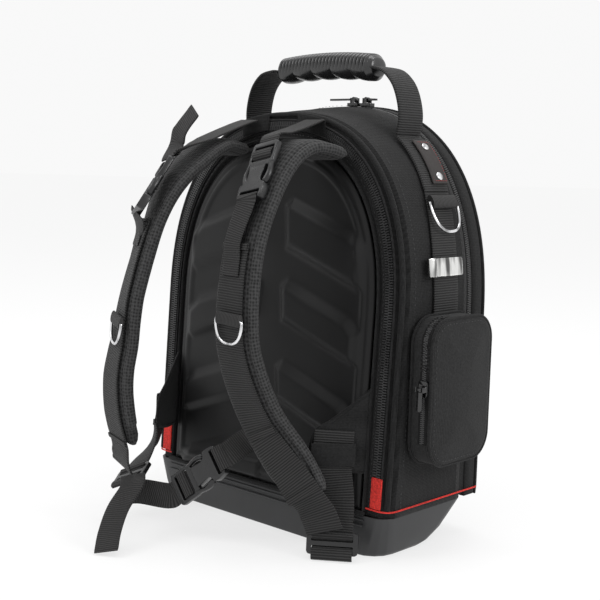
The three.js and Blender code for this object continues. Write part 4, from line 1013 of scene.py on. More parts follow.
LEFT_TAIL = [(-0.475, 1.315, 0.176, -18, 1), (-0.52, 1.2, 0.148, -22, 1), (-0.578, 1.05, 0.127, -24, 1)]
WEB_START = {"right": 6, "left": 5}
STRAP_WIDTH = 57.0
STRAP_THICK = 15.0
STRAP_SEAT = STRAP_THICK / 2 + 2 * GAP + WEB_THICK / 2


def harness_spot(across, out, up):
    z = up * BACK_HEIGHT
    return Vector((across * HALF, back_y(z) - out * STRAP_REACH, z))


def harness_rows(table):
    return [(harness_spot(a, o, u), Vector((math.cos(math.radians(t)), math.sin(math.radians(t)), 0)), w)
            for a, o, u, t, w in table]


def strap_loop():
    """Section of the padded strap: a crowned cushion that sinks to a seam beside its rolled edges."""
    w, t = STRAP_WIDTH / 2, STRAP_THICK / 2
    rise = [(0.84, 0.2), (0.8, 0.5), (0.74, 0.72), (0.66, 0.87), (0.55, 0.97), (0.4, 1.0), (0.2, 1.0)]
    top = [(-a, b) for a, b in rise] + [(0.0, 1.0)] + rise[::-1]
    loop = [(a * w, b * t) for a, b in top]
    return loop + [(a * w, -b * t) for a, b in reversed(top)]


ROLL_HALF = 4.6
ROLL_THICK = 5.4
ROLL_END = 58.0
HEMS = {"right": (292.0, 118.0, 64.0), "left": (344.0, 96.0)}


def nearest(line, z):
    return min(line, key=lambda s: abs(s.point.z - z))


def strap_roll(name, line, side, web):
    """The rolled edge of a strap with its seam; it may run on beside the webbing."""
    edge = side * (STRAP_WIDTH / 2 - ROLL_HALF)
    rows = [(s.at(edge * s.width, 0), s.across, 1.0) for s in line[2:-2:6]]
    rows += [(s.at(side * (WEB / 2 + 0.5), -2.5), s.across, 1.0) for s in web[::5]
             if ROLL_END < s.point.z < line[-1].point.z - 2]
    roll = stations(rows, 6)
    last = roll[-1].run

    def rolled(i, s):
        a, b = round_loop(1.0, 14)[i]
        close = 0.45 + 0.55 * min(s.run, last - s.run, 7.0) / 7.0
        slim = 1 - 0.35 * smooth_step(line[-1].point.z + 12 - s.point.z, 0, 25)
        return a * ROLL_HALF * close * slim, b * ROLL_THICK * close * slim

    finish_piece(f"strap_roll_{name}", swept(roll, round_loop(ROLL_HALF, 14), shape=rolled),
                 STRAP_EDGE, "body_fabric")
    seam = [(s.at(edge * s.width - side * (ROLL_HALF + 0.6), STRAP_THICK / 2 - 1.6), s.face)
            for s in line[3:-3]]
    stitches(f"strap_seam_{name}", [seam], GREY_THREAD, 3.0, 1.4, 0.3, "body_fabric")


def shoulder_strap(name, table, tail):
    rows = harness_rows(table)
    line = stations(rows, 10)
    loop = strap_loop()
    last = line[-1].run

    def shape(i, s):
        a, b = loop[i]
        end = min(s.run, last - s.run)
        close = min(end / 9.0, 1.0) ** 0.5
        sway = 1 + 0.012 * noise.noise(s.point * 0.04) if 3 < i < 10 else 1
        return a * s.width * (0.94 + 0.06 * close), b * (0.45 + 0.55 * close) * sway

    made = finish_piece(f"strap_pad_{name}", swept(line, loop, shape=shape), STRAP_MESH, "body_fabric",
                        stands_for=[f"shoulder_strap_{name}"], sharp=70)
    first = WEB_START[name] * 10
    kept = [r for r in raised(line, STRAP_SEAT)[first::5]]
    rows = [(s.point, s.across, 1.0) for s in kept] + [(p, c, 1.0) for p, c, _ in harness_rows(tail)]
    web = stations(rows, 6)
    band(f"strap_web_{name}", web, WEB, WEB_THICK, stands_for=[f"strap_webbing_{name}"])
    for edge, side in (("inner", -1), ("outer", 1)):
        strap_roll(f"{name}_{edge}", line, side, web if (name, edge) == ("right", "outer") else ())
    for k, z in enumerate(HEMS[name]):
        middle = web.index(nearest(web, z))
        hem = raised(web[max(middle - 1, 0):middle + 2], WEB_THICK / 2 + 0.7)
        reach = max(hem[-1].run - hem[0].run, 0.1)
        middle = hem[0].point.lerp(hem[-1].point, 0.5)
        rows = [(middle + hem[0].along * a * min(reach, 6.0) / 2, hem[0].across, 1.0) for a in (-1, 0, 1)]
        band(f"strap_hem_{name}_{k}", stations(rows, 4), WEB + 0.6, 1.3, WEBBING_FINE)
    return web


WEB_LINES = {
    "right": shoulder_strap("right", RIGHT_STRAP, RIGHT_TAIL),
    "left": shoulder_strap("left", LEFT_STRAP, LEFT_TAIL),
}


def wire_ring(width, drop, wire, frame_of_ring, at, name, node, body):
    """A D-ring of one bent wire: a straight bar and a bow that hangs from its ends."""
    reach = width / 2 - wire
    path = [Vector((mix(-reach, reach, k / 8), 0, 0)) for k in range(1, 8)]
    path += [Vector((reach * power(math.cos(math.pi * k / 20), 0.75),
                     -(drop - wire) * math.sin(math.pi * k / 20) ** 0.85, 0)) for k in range(21)]
    across, up, out = frame_of_ring
    placed = [at + across * p.x + up * p.y for p in path]
    closed = placed + placed[:1]
    line = []
    for k, point in enumerate(closed[:-1]):
        along = closed[k + 1] - placed[k - 1]
        line.append(Station(point, along, out))
    measured(line)
    bm = swept(line, round_loop(wire, 12), joined=True)
    made = finish_piece(name, bm, CHROME, "chromed_metal", body, [node])
    rounded = made.modifiers.new("rounded", "SUBSURF")
    rounded.levels = rounded.render_levels = 1
    return made


def bar_loop(name, node, width, height, depth, frame_of_ring, at):
    """A folded webbing loop round a ring's bar, pinched flat below the bar."""
    across, up, out = frame_of_ring
    section = []
    for k in range(24):
        angle = 2 * math.pi * k / 24
        a, b = power(math.cos(angle), 0.6), power(math.sin(angle), 0.8)
        section.append((a * height / 2, b * depth / 2 * (1 - 0.25 * max(a, 0))))
    line = []
    for k in range(9):
        s = Station(at + across * mix(-width / 2, width / 2, k / 8), across, up)
        s.across, s.face = up, out
        s.run = width * k / 8
        line.append(s)
    return finish_piece(name, swept(line, section), WEBBING_FINE, "webbing", "bag", [node])


RING_WIRE = 1.6
STRAP_RING_UP = {"right": 0.545, "left": 0.5}
COARSE = {"right": stations(harness_rows(RIGHT_STRAP), 2), "left": stations(harness_rows(LEFT_STRAP), 2)}
for name in ("left", "right"):
    spot = nearest(COARSE[name], STRAP_RING_UP[name] * BACK_HEIGHT)
    up = -spot.along
    out = spot.across.cross(up)
    sign = 1 if spot.face.dot(out) > 0 else -1
    seat = STRAP_SEAT + WEB_THICK / 2 + 2 * GAP + 2.5
    at = spot.point + out * sign * seat + spot.across * 5.0
    axes = (spot.across, up, out * sign)
    wire_ring(42.0, 24.0, RING_WIRE, axes, at, f"strap_d_ring_{name}", f"strap_ring_{name}",
              f"strap_ring_{name}_part")
    bar_loop(f"strap_ring_loop_{name}", f"strap_ring_tab_{name}", 34.6, 12.0, 5.0, axes, at)


# Walls of the bag for what is sewn on them

def roof_top(y, z):
    back = back_y(z) + FLANGE_SET + CORNER_CUT
    return mix(BACK_TOP, FRONT_TOP, min(max((y - back) / (GUSSET_END - back), 0), 1))


def wall_half(y, z):
    if z <= SPRING:
        return HALF
    part = (z - SPRING) / (roof_top(y, z) - SPRING)
    return HALF * max(1 - part ** ARCH_POWER, 0) ** (1 / ARCH_POWER)


def on_wall(side, y, z, lift=0.0):
    """A place on the wall, lifted along its outward normal, with that normal and the way up."""
    rise = wall_half(y, z + 2) - wall_half(y, z - 2)
    up = Vector((side * rise, 0, 4)).normalized()
    normal = Vector((side * up.z, 0, -side * up.x))
    return Vector((side * wall_half(y, z), y, z)) + normal * lift, normal, up


def web_y(z):
    return 8.0 + 13.0 * smooth_step(z, 274.5, 397.0)


def wall_band(name, side, levels, centre, width, seat, thick, finish, slot, stands_for, tail=()):
    """A band up the wall, centred at centre(z), and on through free stations in tail."""
    line = []
    for z in levels:
        point, normal, up = on_wall(side, centre(z), z, seat + thick / 2)
        s = Station(point, up, Vector((0, 1, 0)))
        s.across, s.face = Vector((0, 1, 0)), normal
        line.append(s)
    line += tail
    measured(line)
    band(name, line, width, thick, finish, slot, stands_for)
    return line


GRIP_HEIGHT = 466.0
GRIP_Y = 18.0
HANDLE_SHOULDER = 397.0
HANDLE_THICK = 3.0
PATCH_LOW, PATCH_TOP, PATCH_SHIFT = 351.0, 391.0, 6.0
HANDLE_REACH = 104.0
HANDLE_ROWS = [(1.02, 0.28), (1.0, 0.52), (0.93, 0.77), (0.8, 0.95), (0.6385, 1.01)]
HANDLE_WIDTHS = [1, 1, 1, 1, 1, 0.8]


def free_handle(side):
    """Stations of the handle's webbing from the wall up and over into the grip."""
    start = on_wall(side, web_y(HANDLE_SHOULDER), HANDLE_SHOULDER, LAY + HANDLE_THICK / 2)[0]
    rows = [start]
    for across, up in HANDLE_ROWS:
        rows.append(Vector((side * HANDLE_REACH * across, mix(web_y(HANDLE_SHOULDER), GRIP_Y, up),
                            mix(HANDLE_SHOULDER, GRIP_HEIGHT, up))))
    count = (len(rows) - 1) * 6
    line = []
    for n in range(1, count + 1):
        t = n / count
        k = min(int(t * (len(rows) - 1)), len(rows) - 2)
        along = spot_at(rows, min(t + 1e-3, 1)) - spot_at(rows, t - 1e-3)
        s = Station(spot_at(rows, t), along, Vector((0, 1, 0)),
                    mix(HANDLE_WIDTHS[k], HANDLE_WIDTHS[k + 1], t * (len(rows) - 1) - k))
        s.across = Vector((0, 1, 0))
        s.face = s.along.cross(s.across).normalized()
        line.append(s)
    return line


for name, side in (("left", -1), ("right", 1)):
    low = [mix(96.0, 344.7, k / 36) for k in range(37)]
    wall_band(f"side_web_{name}", side, low, web_y, WEB, LAY, WEB_THICK, WEBBING, "webbing",
              [f"side_webbing_{name}"])
    high = [mix(345.0, HANDLE_SHOULDER, k / 10) for k in range(11)]
    wall_band(f"handle_web_{name}", side, high, web_y, WEB, LAY, HANDLE_THICK, WEBBING, "webbing",
              [f"handle_webbing_{name}"], free_handle(side))
    levels = [mix(PATCH_LOW, PATCH_TOP, k / 16) for k in range(17)]
    seat = LAY + HANDLE_THICK + LAY
    wall_band(f"patch_{name}", side, levels, lambda z: web_y(z) + PATCH_SHIFT, 24.0, seat, 2.0,
              LEATHER, "leather", [f"leather_patch_{name}"])

    def patch_spot(dy, z):
        point, normal, _ = on_wall(side, web_y(z) + PATCH_SHIFT + dy, z, seat + 2.05)
        return point, normal

    edge = [patch_spot(-9.6, mix(PATCH_LOW + 2.2, PATCH_TOP - 2.2, k / 10)) for k in range(11)]
    edge += [patch_spot(9.6, mix(PATCH_TOP - 2.2, PATCH_LOW + 2.2, k / 10)) for k in range(11)]
    stitches(f"patch_thread_{name}", [edge + edge[:1]], RED_THREAD, 1.7, 0.9, 0.3, "leather")
    for level, share in (("lower", 0.16), ("upper", 0.84)):
        z = mix(PATCH_LOW, PATCH_TOP, share)
        point, normal, up = on_wall(side, web_y(z) + PATCH_SHIFT, z, seat + 2.3)
        bm = bmesh.new()
        turn = Matrix((Vector((0, 1, 0)), up, normal)).transposed().to_4x4()
        edge_points = [bm.verts.new(p) for p in ((4.3, 0, 0), (4.2, 0, 0.5), (3.7, 0, 0.95), (3.0, 0, 1.2),
                                                 (2.6, 0, 1.1), (1.4, 0, 1.35), (0.0, 0, 1.45))]
        line_edges = [bm.edges.new(pair) for pair in zip(edge_points, edge_points[1:])]
        bmesh.ops.spin(bm, geom=edge_points + line_edges, cent=(0, 0, 0), axis=(0, 0, 1), steps=28,
                       angle=2 * math.pi, use_merge=True)
        weld(bm, 0.01)
        close_holes(bm)
        bmesh.ops.transform(bm, matrix=Matrix.Translation(point) @ turn, verts=bm.verts)
        finish_piece(f"rivet_head_{name}_{level}", bm, CHROME, "chromed_metal",
                     stands_for=[f"rivet_{name}_{level}"])


def handle_grip():
    """Moulded grip: fine ribs over the top and five finger scallops below."""
    length, thick, deep, crown, ribs, scallops = 132.0, 28.0, 33.0, 4.0, 28, 5
    along, around = 336, 40

    def place(i, j):
        share = 2 * j / along - 1
        x = share * length / 2
        end = 1 - 0.35 * max(abs(share) - 0.9, 0) * 10
        end *= 1 - 0.25 * smooth_step(abs(share), 0.985, 1.0)
        wave = abs(math.sin(math.pi * scallops * (share + 1) / 2)) ** 0.8
        z = GRIP_HEIGHT + crown * (1 - share ** 2)
        angle = 2 * math.pi * (i % around) / around
        below = max(-math.sin(angle), 0)
        above = smooth_step(math.sin(angle), -0.12, 0.12) * (1 - smooth_step(abs(share), 0.9, 0.94))
        rib = abs(math.sin(math.pi * ribs * (share + 1) / 2)) ** 0.6
        reach = end * (1 - below * (1 - wave) * 5.2 / thick) - above * (1 - rib) * 0.14
        return Vector((x, GRIP_Y + deep / 2 * reach * power(math.cos(angle), 0.85),
                       z + thick / 2 * reach * power(math.sin(angle), 0.85)))

    bm = laid_grid(around, along, place, lambda i, j: (i * 2.4, j * 0.4))
    weld(bm)
    close_holes(bm)
    finish_piece("grip_moulded", bm, GRIP_RUBBER, "grip", stands_for=["handle_grip"], sharp=55)


handle_grip()

# Side ring, its loop and the tape clip

ring_point, ring_out, ring_up = on_wall(1, web_y(334.0), 334.0, LAY + WEB_THICK + GAP + 3.7)
ring_axes = (Vector((0, 1, 0)), ring_up, ring_out)
wire_ring(46.0, 32.0, RING_WIRE, ring_axes, ring_point, "side_d_ring", "side_ring", "side_ring_part")
bar_loop("side_ring_fold", "side_ring_loop", 38.6, 13.0, 7.4, ring_axes, ring_point)

CLIP_LENGTH, CLIP_HEIGHT, CLIP_Z, CLIP_Y = 59.0, 17.0, 274.5, 3.0


def tape_clip():
    """A strip of bright sheet: rolled round at the back, then a shallow wave to its front edge."""
    bend = [(-19.0, 2.6), (-21.5, 1.7), (-24.3, 2.6), (-26.6, 4.8), (-26.9, 7.6), (-25.0, 9.6), (-21.8, 10.0),
            (-18.6, 8.6), (-16.2, 6.2), (-13.4, 4.7), (-9.0, 4.4), (-3.0, 5.3), (4.0, 5.9), (12.0, 5.4),
            (20.0, 4.5), (27.0, 4.1), (29.5, 3.4)]
    count, tall = 48, 10
    points = [Vector((a, b, 0)) for a, b in bend]

    def place(i, j):
        spot = spot_at(points, i / count)
        up = 2 * j / tall - 1
        near_end = smooth_step(abs(2 * i / count - 1), 0.93, 1.0)
        z = CLIP_Z + up * CLIP_HEIGHT / 2 * (1 - 0.12 * near_end)
        return on_wall(1, CLIP_Y + spot.x, z, LAY + WEB_THICK + spot.y - 2.0)[0]

    bm = laid_grid(count, tall, place)
    bm.normal_update()
    walled(finish_piece("tape_clip_bent", bm, BRIGHT_STRIP, "chromed_metal", stands_for=["tape_clip"],
                        sharp=60), 1.3, 0)


tape_clip()


# Side pocket

POCKET_BACK, POCKET_FRONT, POCKET_LOW, POCKET_TOP = -45.0, 49.0, 90.0, 230.0
POCKET_SEAT = LAY + WEB_THICK + GAP


def pocket_spot(i, around, inset, depth, corner=25.0):
    """A place on a rounded outline of the pocket, i of around steps, from its lower front corner."""
    width = POCKET_FRONT - POCKET_BACK - 2 * inset
    height = POCKET_TOP - POCKET_LOW - 2 * inset
    radius = max(min(corner - inset, min(width, height) / 2 - 0.1), 2.0)
    arc = math.pi / 2 * radius
    sides = [(height - 2 * radius), (width - 2 * radius)] * 2
    total = sum(sides) + 4 * arc
    run = (i % around) / around * total
    centres = [(width / 2 - radius, -height / 2 + radius), (width / 2 - radius, height / 2 - radius),
               (-width / 2 + radius, height / 2 - radius), (-width / 2 + radius, -height / 2 + radius)]
    for quarter in range(4):
        cy, cz = centres[quarter]
        if run <= arc:
            angle = math.pi / 2 * (quarter - 1) + run / radius
            y, z = cy + radius * math.cos(angle), cz + radius * math.sin(angle)
            break
        run -= arc
        if run <= sides[quarter]:
            angle = math.pi / 2 * quarter
            y = cy + radius * math.cos(angle) - run * math.sin(angle)
            z = cz + radius * math.sin(angle) + run * math.cos(angle)
            break
        run -= sides[quarter]
    y += (POCKET_FRONT + POCKET_BACK) / 2
    z += (POCKET_TOP + POCKET_LOW) / 2
    return Vector((depth + wall_half(y, z), y, z))


def side_pocket():
    around = 120
    rows = [(0.0, POCKET_SEAT), (0.0, 8.0), (0.0, 14.0), (0.0, 20.0), (0.0, 24.0), (0.4, 26.2), (1.5, 27.6),
            (3.5, 28.4), (7.5, 28.9), (14.0, 30.0), (22.0, 31.3), (32.0, 32.4), (38.0, 32.9), (43.0, 33.0)]

    def place(i, j):
        inset, depth = rows[j]
        spot = pocket_spot(i, around, inset, depth)
        if 0 < j:
            spot.x += 0.9 * noise.noise(spot * 0.03) * min(depth / 20, 1)
        return spot

    bm = laid_grid(around, len(rows) - 1, place, lambda i, j: (i * 3.6, sum(rows[j])))
    weld(bm)
    bmesh.ops.holes_fill(bm, edges=[e for e in bm.edges if e.is_boundary
                                    and e.verts[0].co.x > HALF + 20], sides=0)
    bmesh.ops.recalc_face_normals(bm, faces=bm.faces)
    if sum(f.normal.x * f.calc_area() for f in bm.faces) < 0:
        bmesh.ops.reverse_faces(bm, faces=bm.faces)
    walled(finish_piece("pocket_cloth", bm, POCKET_CLOTH, "body_fabric", stands_for=["side_pocket"]), 1.8)

    def outline(inset, depth):
        points = [pocket_spot(i, around, inset, depth) for i in range(around)]
        line = []
        for k, point in enumerate(points):
            along = points[(k + 1) % around] - points[k - 1]
            line.append(Station(point, along, Vector((1, 0, 0))))
        return measured(line)

    for level, inset, depth, radius in (("front", 0.3, 26.6, 1.9), ("wall", -0.6, POCKET_SEAT + 1.6, 1.5)):
        cord = swept(outline(inset, depth), round_loop(radius, 8), joined=True)
        finish_piece(f"pocket_piping_{level}", cord, BINDING, "body_fabric")
    seam = [(s.point, Vector((1, 0, 0))) for s in outline(5.0, 28.9)]
    stitches("pocket_seam_thread", [seam + seam[:1]], GREY_THREAD, 2.6, 1.2, 0.26, "body_fabric")

    zip_points = [pocket_spot(i, around, -0.5, 19.5) for i in range(around)]
    back = [p for p in zip_points if p.y < -10 and p.z > POCKET_LOW + 22]
    back.sort(key=lambda p: math.atan2(p.z - 160, p.y + 60))
    line = []
    for k, point in enumerate(back):
        along = back[min(k + 1, len(back) - 1)] - back[max(k - 1, 0)]
        s = Station(point, along, Vector((1, 0, 0)))
        s.across = Vector((1, 0, 0))
        s.face = along.cross(s.across).normalized()
        if s.face.y > 0 and s.face.z < 0.5:
            s.face.negate()
        line.append(s)
    measured(line)
    loop = [(a * 5.0, b * 0.5) for a, b in round_loop(1.0, 12)]
    finish_piece("pocket_zip_tape", swept(line, loop), ZIP_TAPE, "zip")
    teeth("pocket_zip_teeth", raised(line, 0.3), 1.9, 4.6, 1.1, ZIP_PLASTIC)


side_pocket()


# Hard fittings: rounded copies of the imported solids

def fitting(name, node, finish, slot, width, segments=3, body="bag", angle=25.0):
    bm = node_copy(node)
    round_edges(bm, width, segments, angle)
    return finish_piece(name, bm, finish, slot, body, [node], sharp=50)


for zipper in ("pocket", "top_a", "top_b"):
    fitting(f"{zipper}_slider_body", f"{zipper}_slider", COATED_METAL, "zip", 0.35, 2)
    fitting(f"{zipper}_pull_tag", f"{zipper}_pull", COATED_METAL, "buckle_plastic", 0.35, 2,
            f"{zipper}_pull_part")


# Side release buckles and ladder locks, drawn along x with the face along z

BUCKLE_LENGTH = 62.0
BUCKLE_HALF = 16.5
BUCKLE_THICK = 9.0
SLOT = 5.0
SLOT_WIDTH = WEB_NARROW + 1
SOCKET_LACING = [(5.5, -2.0), (4.2, 3.4), (1.4, 5.1), (-3.0, 3.8)]
PLUG_LACING = [(56.0, -2.8), (54.6, 0.6), (52.4, 3.5), (49.3, 4.1), (46.2, 3.5), (44.0, 0.6), (42.6, -2.8)]


def arc(x, y, radius, start, end, steps=6):
    """Points of an arc about (x, y), its angles in degrees."""
    angles = [math.radians(mix(start, end, k / steps)) for k in range(steps + 1)]
    return [(x + radius * math.cos(a), y + radius * math.sin(a)) for a in angles]


def socket_plate():
    """The socket: a rounded mouth for the webbing, and a slim middle between the prongs."""
    half = [(0.0, 12.0)] + arc(3.0, 12.2, 3.0, 180, 90, 4) + [(9.0, 16.4), (13.5, BUCKLE_HALF)]
    half += [(15.4, 15.6), (16.2, 13.2)] + arc(21.0, 13.4, 4.4, 200, 260, 4) + [(27.0, 9.4), (34.9, 10.4)]
    return cut_plate(mirrored(half), [opening(SLOT * 1.1, SLOT, SLOT_WIDTH)], BUCKLE_THICK - 0.6, 1.4)


def plug_plate():
    """The plug: a ladder of two slots behind its shoulders."""
    half = [(35.2, 12.0), (37.5, BUCKLE_HALF - 0.6), (40.0, BUCKLE_HALF)] + arc(58.5, 13.0, 3.5, 90, 0, 4)
    slots = [opening(BUCKLE_LENGTH * share, SLOT, SLOT_WIDTH) for share in (0.71, 0.88)]
    return cut_plate(mirrored(half), slots, BUCKLE_THICK - 3.0, 1.1)


def prong(side, axes, at):
    """One springy arm of the plug, bowed outwards, with a rounded tip in the socket's shoulder."""
    along, across, out = axes
    bow = ((39.5, 13.6, 2.6), (35.0, 14.4, 2.3), (30.0, 15.4, 2.3), (24.5, 15.3, 2.7), (20.0, 13.8, 2.9),
           (17.6, 12.6, 2.2))
    rows = [(at + along * x + across * side * y, across, reach) for x, y, reach in bow]
    line = stations(rows, 5)
    section = round_loop(1.0, 12)

    def shape(i, s):
        a, b = section[i]
        return a * s.width, b * 3.5

    return swept(line, section, shape=shape)


def threaded(name, path, width, axes, at, finish=WEBBING_FINE):
    """Webbing laced through slots along (x, z) points of a fitting's own axes."""
    along, across, out = axes
    rows = [(at + along * x + out * z, across, 1.0) for x, z in path]
    return band(name, stations(rows, 5), width, 1.6, finish)


def side_release(name, axes, at, nodes, anchor=(), over=True):
    """One closed buckle with its prongs and the webbing at both ends; the socket's webbing goes
    over its bar, or starts behind it, and runs on through the anchor's (point, across) places."""
    socket, plug = nodes
    finish_piece(f"{name}_socket_body", seated(socket_plate(), *axes, at), PLASTIC, "buckle_plastic",
                 stands_for=[socket], sharp=50)
    finish_piece(f"{name}_plug_body", seated(plug_plate(), *axes, at), PLASTIC, "buckle_plastic",
                 stands_for=[plug], sharp=50)
    for edge, side in (("upper", 1), ("lower", -1)):
        finish_piece(f"{name}_prong_{edge}", prong(side, axes, at), PLASTIC, "buckle_plastic")
    along, across, out = axes
    if anchor and across.dot(anchor[0][1]) < 0:
        across = -across
    mouth = SOCKET_LACING if over else [(-GAP, 0.0)]
    rows = [(at + along * x + out * z, across, 1.0) for x, z in mouth]
    rows += [(*row, 1.0) for row in anchor] or [(at - along * 7.0 + out * 1.6, across, 1.0)]
    band(f"{name}_fold_socket", stations(rows, 5), WEB_NARROW, 1.6, WEBBING_FINE)
    threaded(f"{name}_fold_plug", PLUG_LACING, WEB_NARROW, axes, at)


def buckle_axes(low, high, facing):
    along = (high - low).normalized()
    across = Vector(facing).cross(along).normalized()
    return along, across, along.cross(across)


# Load lifters

LEAD = 7.0
LIFTERS = {
    "right": ([(0.273, 0.009, 0.978), (0.273, 0.3, 0.957), (0.285, 0.53, 0.945)],
              (0.31, 0.748, 0.932), (0.375, 1.102, 0.797), (-0.12, -0.85, 0.5)),
    "left": ([(-0.273, 0.017, 0.978), (-0.278, 0.17, 0.968), (-0.284, 0.68, 0.928)],
             (-0.285, 1.123, 0.887), (-0.287, 1.563, 0.76), (-0.55, -0.7, 0.45)),
}
ACROSS = Vector((1, 0, 0))

for name, (rows, high, low, facing) in LIFTERS.items():
    low_spot = harness_spot(*low)
    axes = buckle_axes(low_spot, harness_spot(*high), facing)
    sewn = WEB_LINES[name][:12:4]
    anchor = [(s.at(0, lift), s.across) for s, lift in zip(sewn, (5.0, 2.6, 2.2))]
    near = name == "right"
    side_release(f"lifter_{name}", axes, low_spot, (f"lifter_socket_{name}", f"lifter_plug_{name}"),
                 anchor if near else anchor[1:], near)
    top = low_spot + axes[0] * (BUCKLE_LENGTH + GAP)
    end = axes[1] if axes[1].x > 0 else -axes[1]
    path = [(harness_spot(*row), ACROSS, 1.0) for row in rows]
    path += [(top + axes[0] * LEAD, end, 1.0), (top, end, 1.0)]
    band(f"lifter_web_{name}", stations(path, 8), WEB_NARROW, WEB_THICK, WEBBING_FINE,
         stands_for=[f"lifter_webbing_{name}"])
loose = [(harness_spot(*row), Vector((0.985, -0.17, 0)), 1.0)
         for row in ((-0.3, 1.13, 0.882), (-0.335, 1, 0.915), (-0.303, 1.005, 0.945), (-0.218, 0.95, 0.993))]
band("lifter_loose_end", stations(loose, 10), WEB_NARROW, WEB_THICK, WEBBING_FINE,
     stands_for=["lifter_tail_left"])


# Patches over the strap roots

def arch_height(x, share):
    top = mix(BACK_TOP, FRONT_TOP, share)
    return mix(SPRING, top, (1 - (abs(x) / HALF) ** ARCH_POWER) ** (1 / ARCH_POWER))


for name, side in (("left", -1), ("right", 1)):
    line = []
    for k in range(13):
        x = mix(20.0, 57.0, k / 12)
        z = arch_height(x, 0) - 10.5
        s = Station(Vector((side * x, back_y(z) + ZIP_SEAT - 2.4 - GAP - 1.0, z)), Vector((1, 0, 0)),
                    Vector((0, 0, 1)))
        s.across, s.face = Vector((0, BACK_LEAN, 1)), Vector((0, -1, 0))
        s.run = 37.0 * k / 12
        line.append(s)
    band(f"root_patch_{name}", line, 17.0, 2.0, BINDING, "body_fabric", [f"strap_patch_{name}"])


# Wings, their webbing and locks

WING_THICK, WING_TOP, WING_LOW, WING_REACH = 2.0, 161.0, 82.0, 53.0
WINGS = {
    "right": (1, 45, (0.725, 0.22, 0.13), (0.75, 0.26, 0.062), 32, 0.0),
    "left": (-1, 62, (-0.72, 0.52, 0.165), (-0.655, 0.82, 0.12), 25, 4.5),
}
LOCK_WIDTH, LOCK_LENGTH, LOCK_THICK = 49.0, 21.0, 4.4
LOCK_LACING = [(-9.5, 3.6), (-6.8, 3.4), (-4.2, 0.4), (0.0, -3.4), (4.2, 0.4), (7.6, 3.6), (11.0, 4.6),
               (14.0, 4.0), (15.2, 1.0)]


def ladder_lock(name, last):
    """A ladder lock under a wing's webbing, with the strap's webbing laced through and folded below."""
    down, across = last.along, last.across
    out = across.cross(-down)
    if out.y > 0:
        out.negate()
    at = last.point + down * (GAP + LOCK_LENGTH / 2)
    x, y = LOCK_LENGTH / 2, LOCK_WIDTH / 2
    half = arc(-x + 3.5, y - 3.5, 3.5, 180, 90, 4) + arc(x - 3.5, y - 3.5, 3.5, 90, 0, 4)
    slots = [opening(end * LOCK_LENGTH * 0.2, LOCK_LENGTH * 0.19, WEB + 2) for end in (-1, 1)]
    axes = (down, out.cross(down), out)
    plate = cut_plate(mirrored(half), slots, LOCK_THICK, 1.0)
    finish_piece(f"ladder_buckle_{name}", seated(plate, *axes, at), PLASTIC, "buckle_plastic",
                 stands_for=[f"ladder_lock_{name}"], sharp=50)
    threaded(f"lock_lacing_{name}", LOCK_LACING, WEB + 1.2, axes, at, WEBBING)


for name, (side, turn, middle, low, lock, lift) in WINGS.items():
    turn = math.radians(turn)
    reach = Vector((-side * math.cos(turn), -math.sin(turn), 0))
    out = Vector((side * math.sin(turn), -math.cos(turn), 0))

    def wing_spot(share, up, off):
        z = mix(WING_LOW, WING_TOP, up)
        root = Vector((side * (HALF - FLANGE_WIDTH + 5), back_y(z) + FLANGE_SET - GAP, z))
        return root + reach * (share * WING_REACH + WING_THICK / 2 / math.tan(turn)) + out * off

    fitting(f"wing_cloth_{name}", f"wing_{name}", BODY_CLOTH, "body_fabric", 0.7, 3)
    rim = [wing_spot(*p, 0) for p in ((0.02, 0.98), (0.3, 0.82), (0.7, 0.6), (0.99, 0.45), (1.0, 0.12),
                                      (0.62, 0.025), (0.04, 0.0))]
    rim_rows = [(p, out, 1.0) for p in rim]
    rim_loop = [(a * 1.7, b * 2.2) for a, b in round_loop(1.0, 10)]
    finish_piece(f"wing_binding_{name}", swept(stations(rim_rows, 5), rim_loop), BINDING, "body_fabric")
    web = 1 - WEB / 2 / WING_REACH
    seat = WING_THICK / 2 + 3 * GAP + WEB_THICK / 2
    across = -reach
    lock_across = Vector((side * math.cos(math.radians(lock)), math.sin(math.radians(lock)), 0))
    rows = [(wing_spot(web, 0.5, seat), across, 1.0), (wing_spot(web, 0.2, seat), across, 1.0),
            (wing_spot(web, 0.02, seat + lift), across, 1.0),
            (harness_spot(*middle), across.lerp(lock_across, 0.5), 1.0),
            (harness_spot(*low), lock_across, 1.0)]
    wing_web = stations(rows, 8)
    band(f"wing_web_{name}", wing_web, WEB, WEB_THICK, stands_for=[f"wing_webbing_{name}"])
    ladder_lock(name, wing_web[-1])
fitting("keeper_band", "keeper_right", STRAP_FACE, "body_fabric", 0.5, 3)


# Waist strap

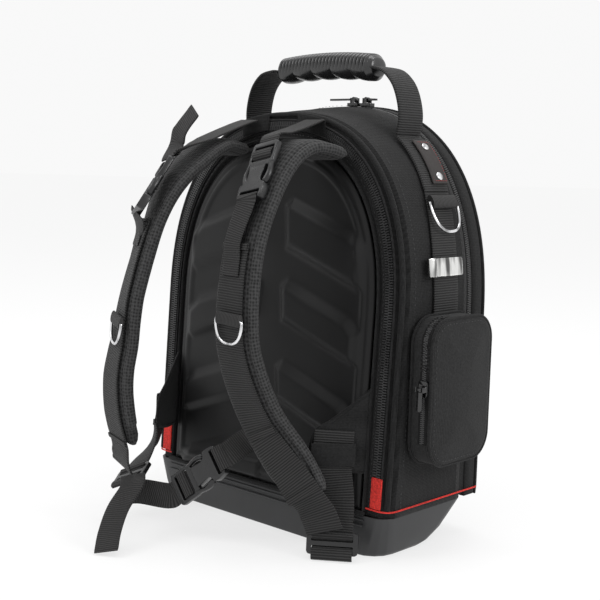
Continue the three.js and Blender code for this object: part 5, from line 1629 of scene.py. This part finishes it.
waist_from = Vector((0.15 * HALF, back_y(0) - 0.82 * STRAP_REACH, 0.205 * BACK_HEIGHT))
waist_to = Vector((-0.2 * HALF, back_y(0) - 1.05 * STRAP_REACH, 0.085 * BACK_HEIGHT))
waist_axes = buckle_axes(waist_from, waist_to, (0.3, -1, 0.35))
side_release("waist", waist_axes, waist_from, ("waist_socket", "waist_plug"))
rows = [(harness_spot(0.34, 0.33, 0.285), waist_axes[1], 1.0),
        (harness_spot(0.25, 0.46, 0.262), waist_axes[1], 1.0),
        (waist_from - waist_axes[0] * (GAP + LEAD), waist_axes[1], 1.0),
        (waist_from - waist_axes[0] * GAP, waist_axes[1], 1.0)]
band("waist_web_right", stations(rows, 8), WEB_NARROW, WEB_THICK, WEBBING_FINE,
     stands_for=["waist_webbing_right"])
waist_end = -waist_axes[1]
upright = Vector((0, 0.6, 0.7))
rows = [(waist_from + waist_axes[0] * (BUCKLE_LENGTH + GAP), waist_end, 1.0),
        (waist_from + waist_axes[0] * (BUCKLE_LENGTH + GAP + LEAD), waist_end, 1.0),
        (harness_spot(-0.35, 1.2, 0.1), waist_end.lerp(upright, 0.5), 1.0),
        (harness_spot(-0.415, 1.255, 0.094), upright, 1.0)]
band("waist_web_left", stations(rows, 8), WEB_NARROW, WEB_THICK, WEBBING_FINE,
     stands_for=["waist_webbing_left"])
rows = [(harness_spot(*row), Vector((0.966, 0.26, 0)), 1.0)
        for row in ((-0.38, 1.275, 0.14), (-0.303, 1.4, 0.125), (-0.267, 1.625, 0.0855),
                    (-0.206, 1.812, 0.043), (-0.145, 1.934, 0.011))]
band("waist_loose_end", stations(rows, 8), WEB_NARROW, WEB_THICK, WEBBING_FINE,
     stands_for=["waist_tail"])


# Floor and light

def studio():
    """A pale seamless floor and soft light from above and both sides."""
    bpy.ops.mesh.primitive_plane_add(size=60)
    floor = bpy.context.object
    floor.name = "floor"
    paper = Finish("pale_paper", (0.26, 0.26, 0.26), 0.9, gleam=0.0)
    paper.shader.inputs["Emission Color"].default_value = (1, 1, 1, 1)
    paper.shader.inputs["Emission Strength"].default_value = 0.685
    floor.data.materials.append(paper.material)
    world = bpy.data.worlds.new("studio")
    world.use_nodes = True
    world.node_tree.nodes["Background"].inputs["Color"].default_value = (1, 1, 1, 1)
    world.node_tree.nodes["Background"].inputs["Strength"].default_value = 0.945
    bpy.context.scene.world = world
    for name, place, size, energy in (
            ("key", (-0.9, -1.5, 1.9), 1.1, 14.0), ("side", (1.9, 0.3, 1.2), 0.8, 14.0),
            ("top", (0.1, 0.3, 2.2), 1.1, 14.0)):
        data = bpy.data.lights.new(name, "AREA")
        data.size = size
        data.energy = energy
        light = bpy.data.objects.new(name, data)
        bpy.context.scene.collection.objects.link(light)
        light.location = place
        light.rotation_mode = "QUATERNION"
        light.rotation_quaternion = (Vector(place) - Vector((0, 0, 0.22))).to_track_quat("Z", "Y")


studio()
bpy.context.scene.view_settings.view_transform = "Standard"
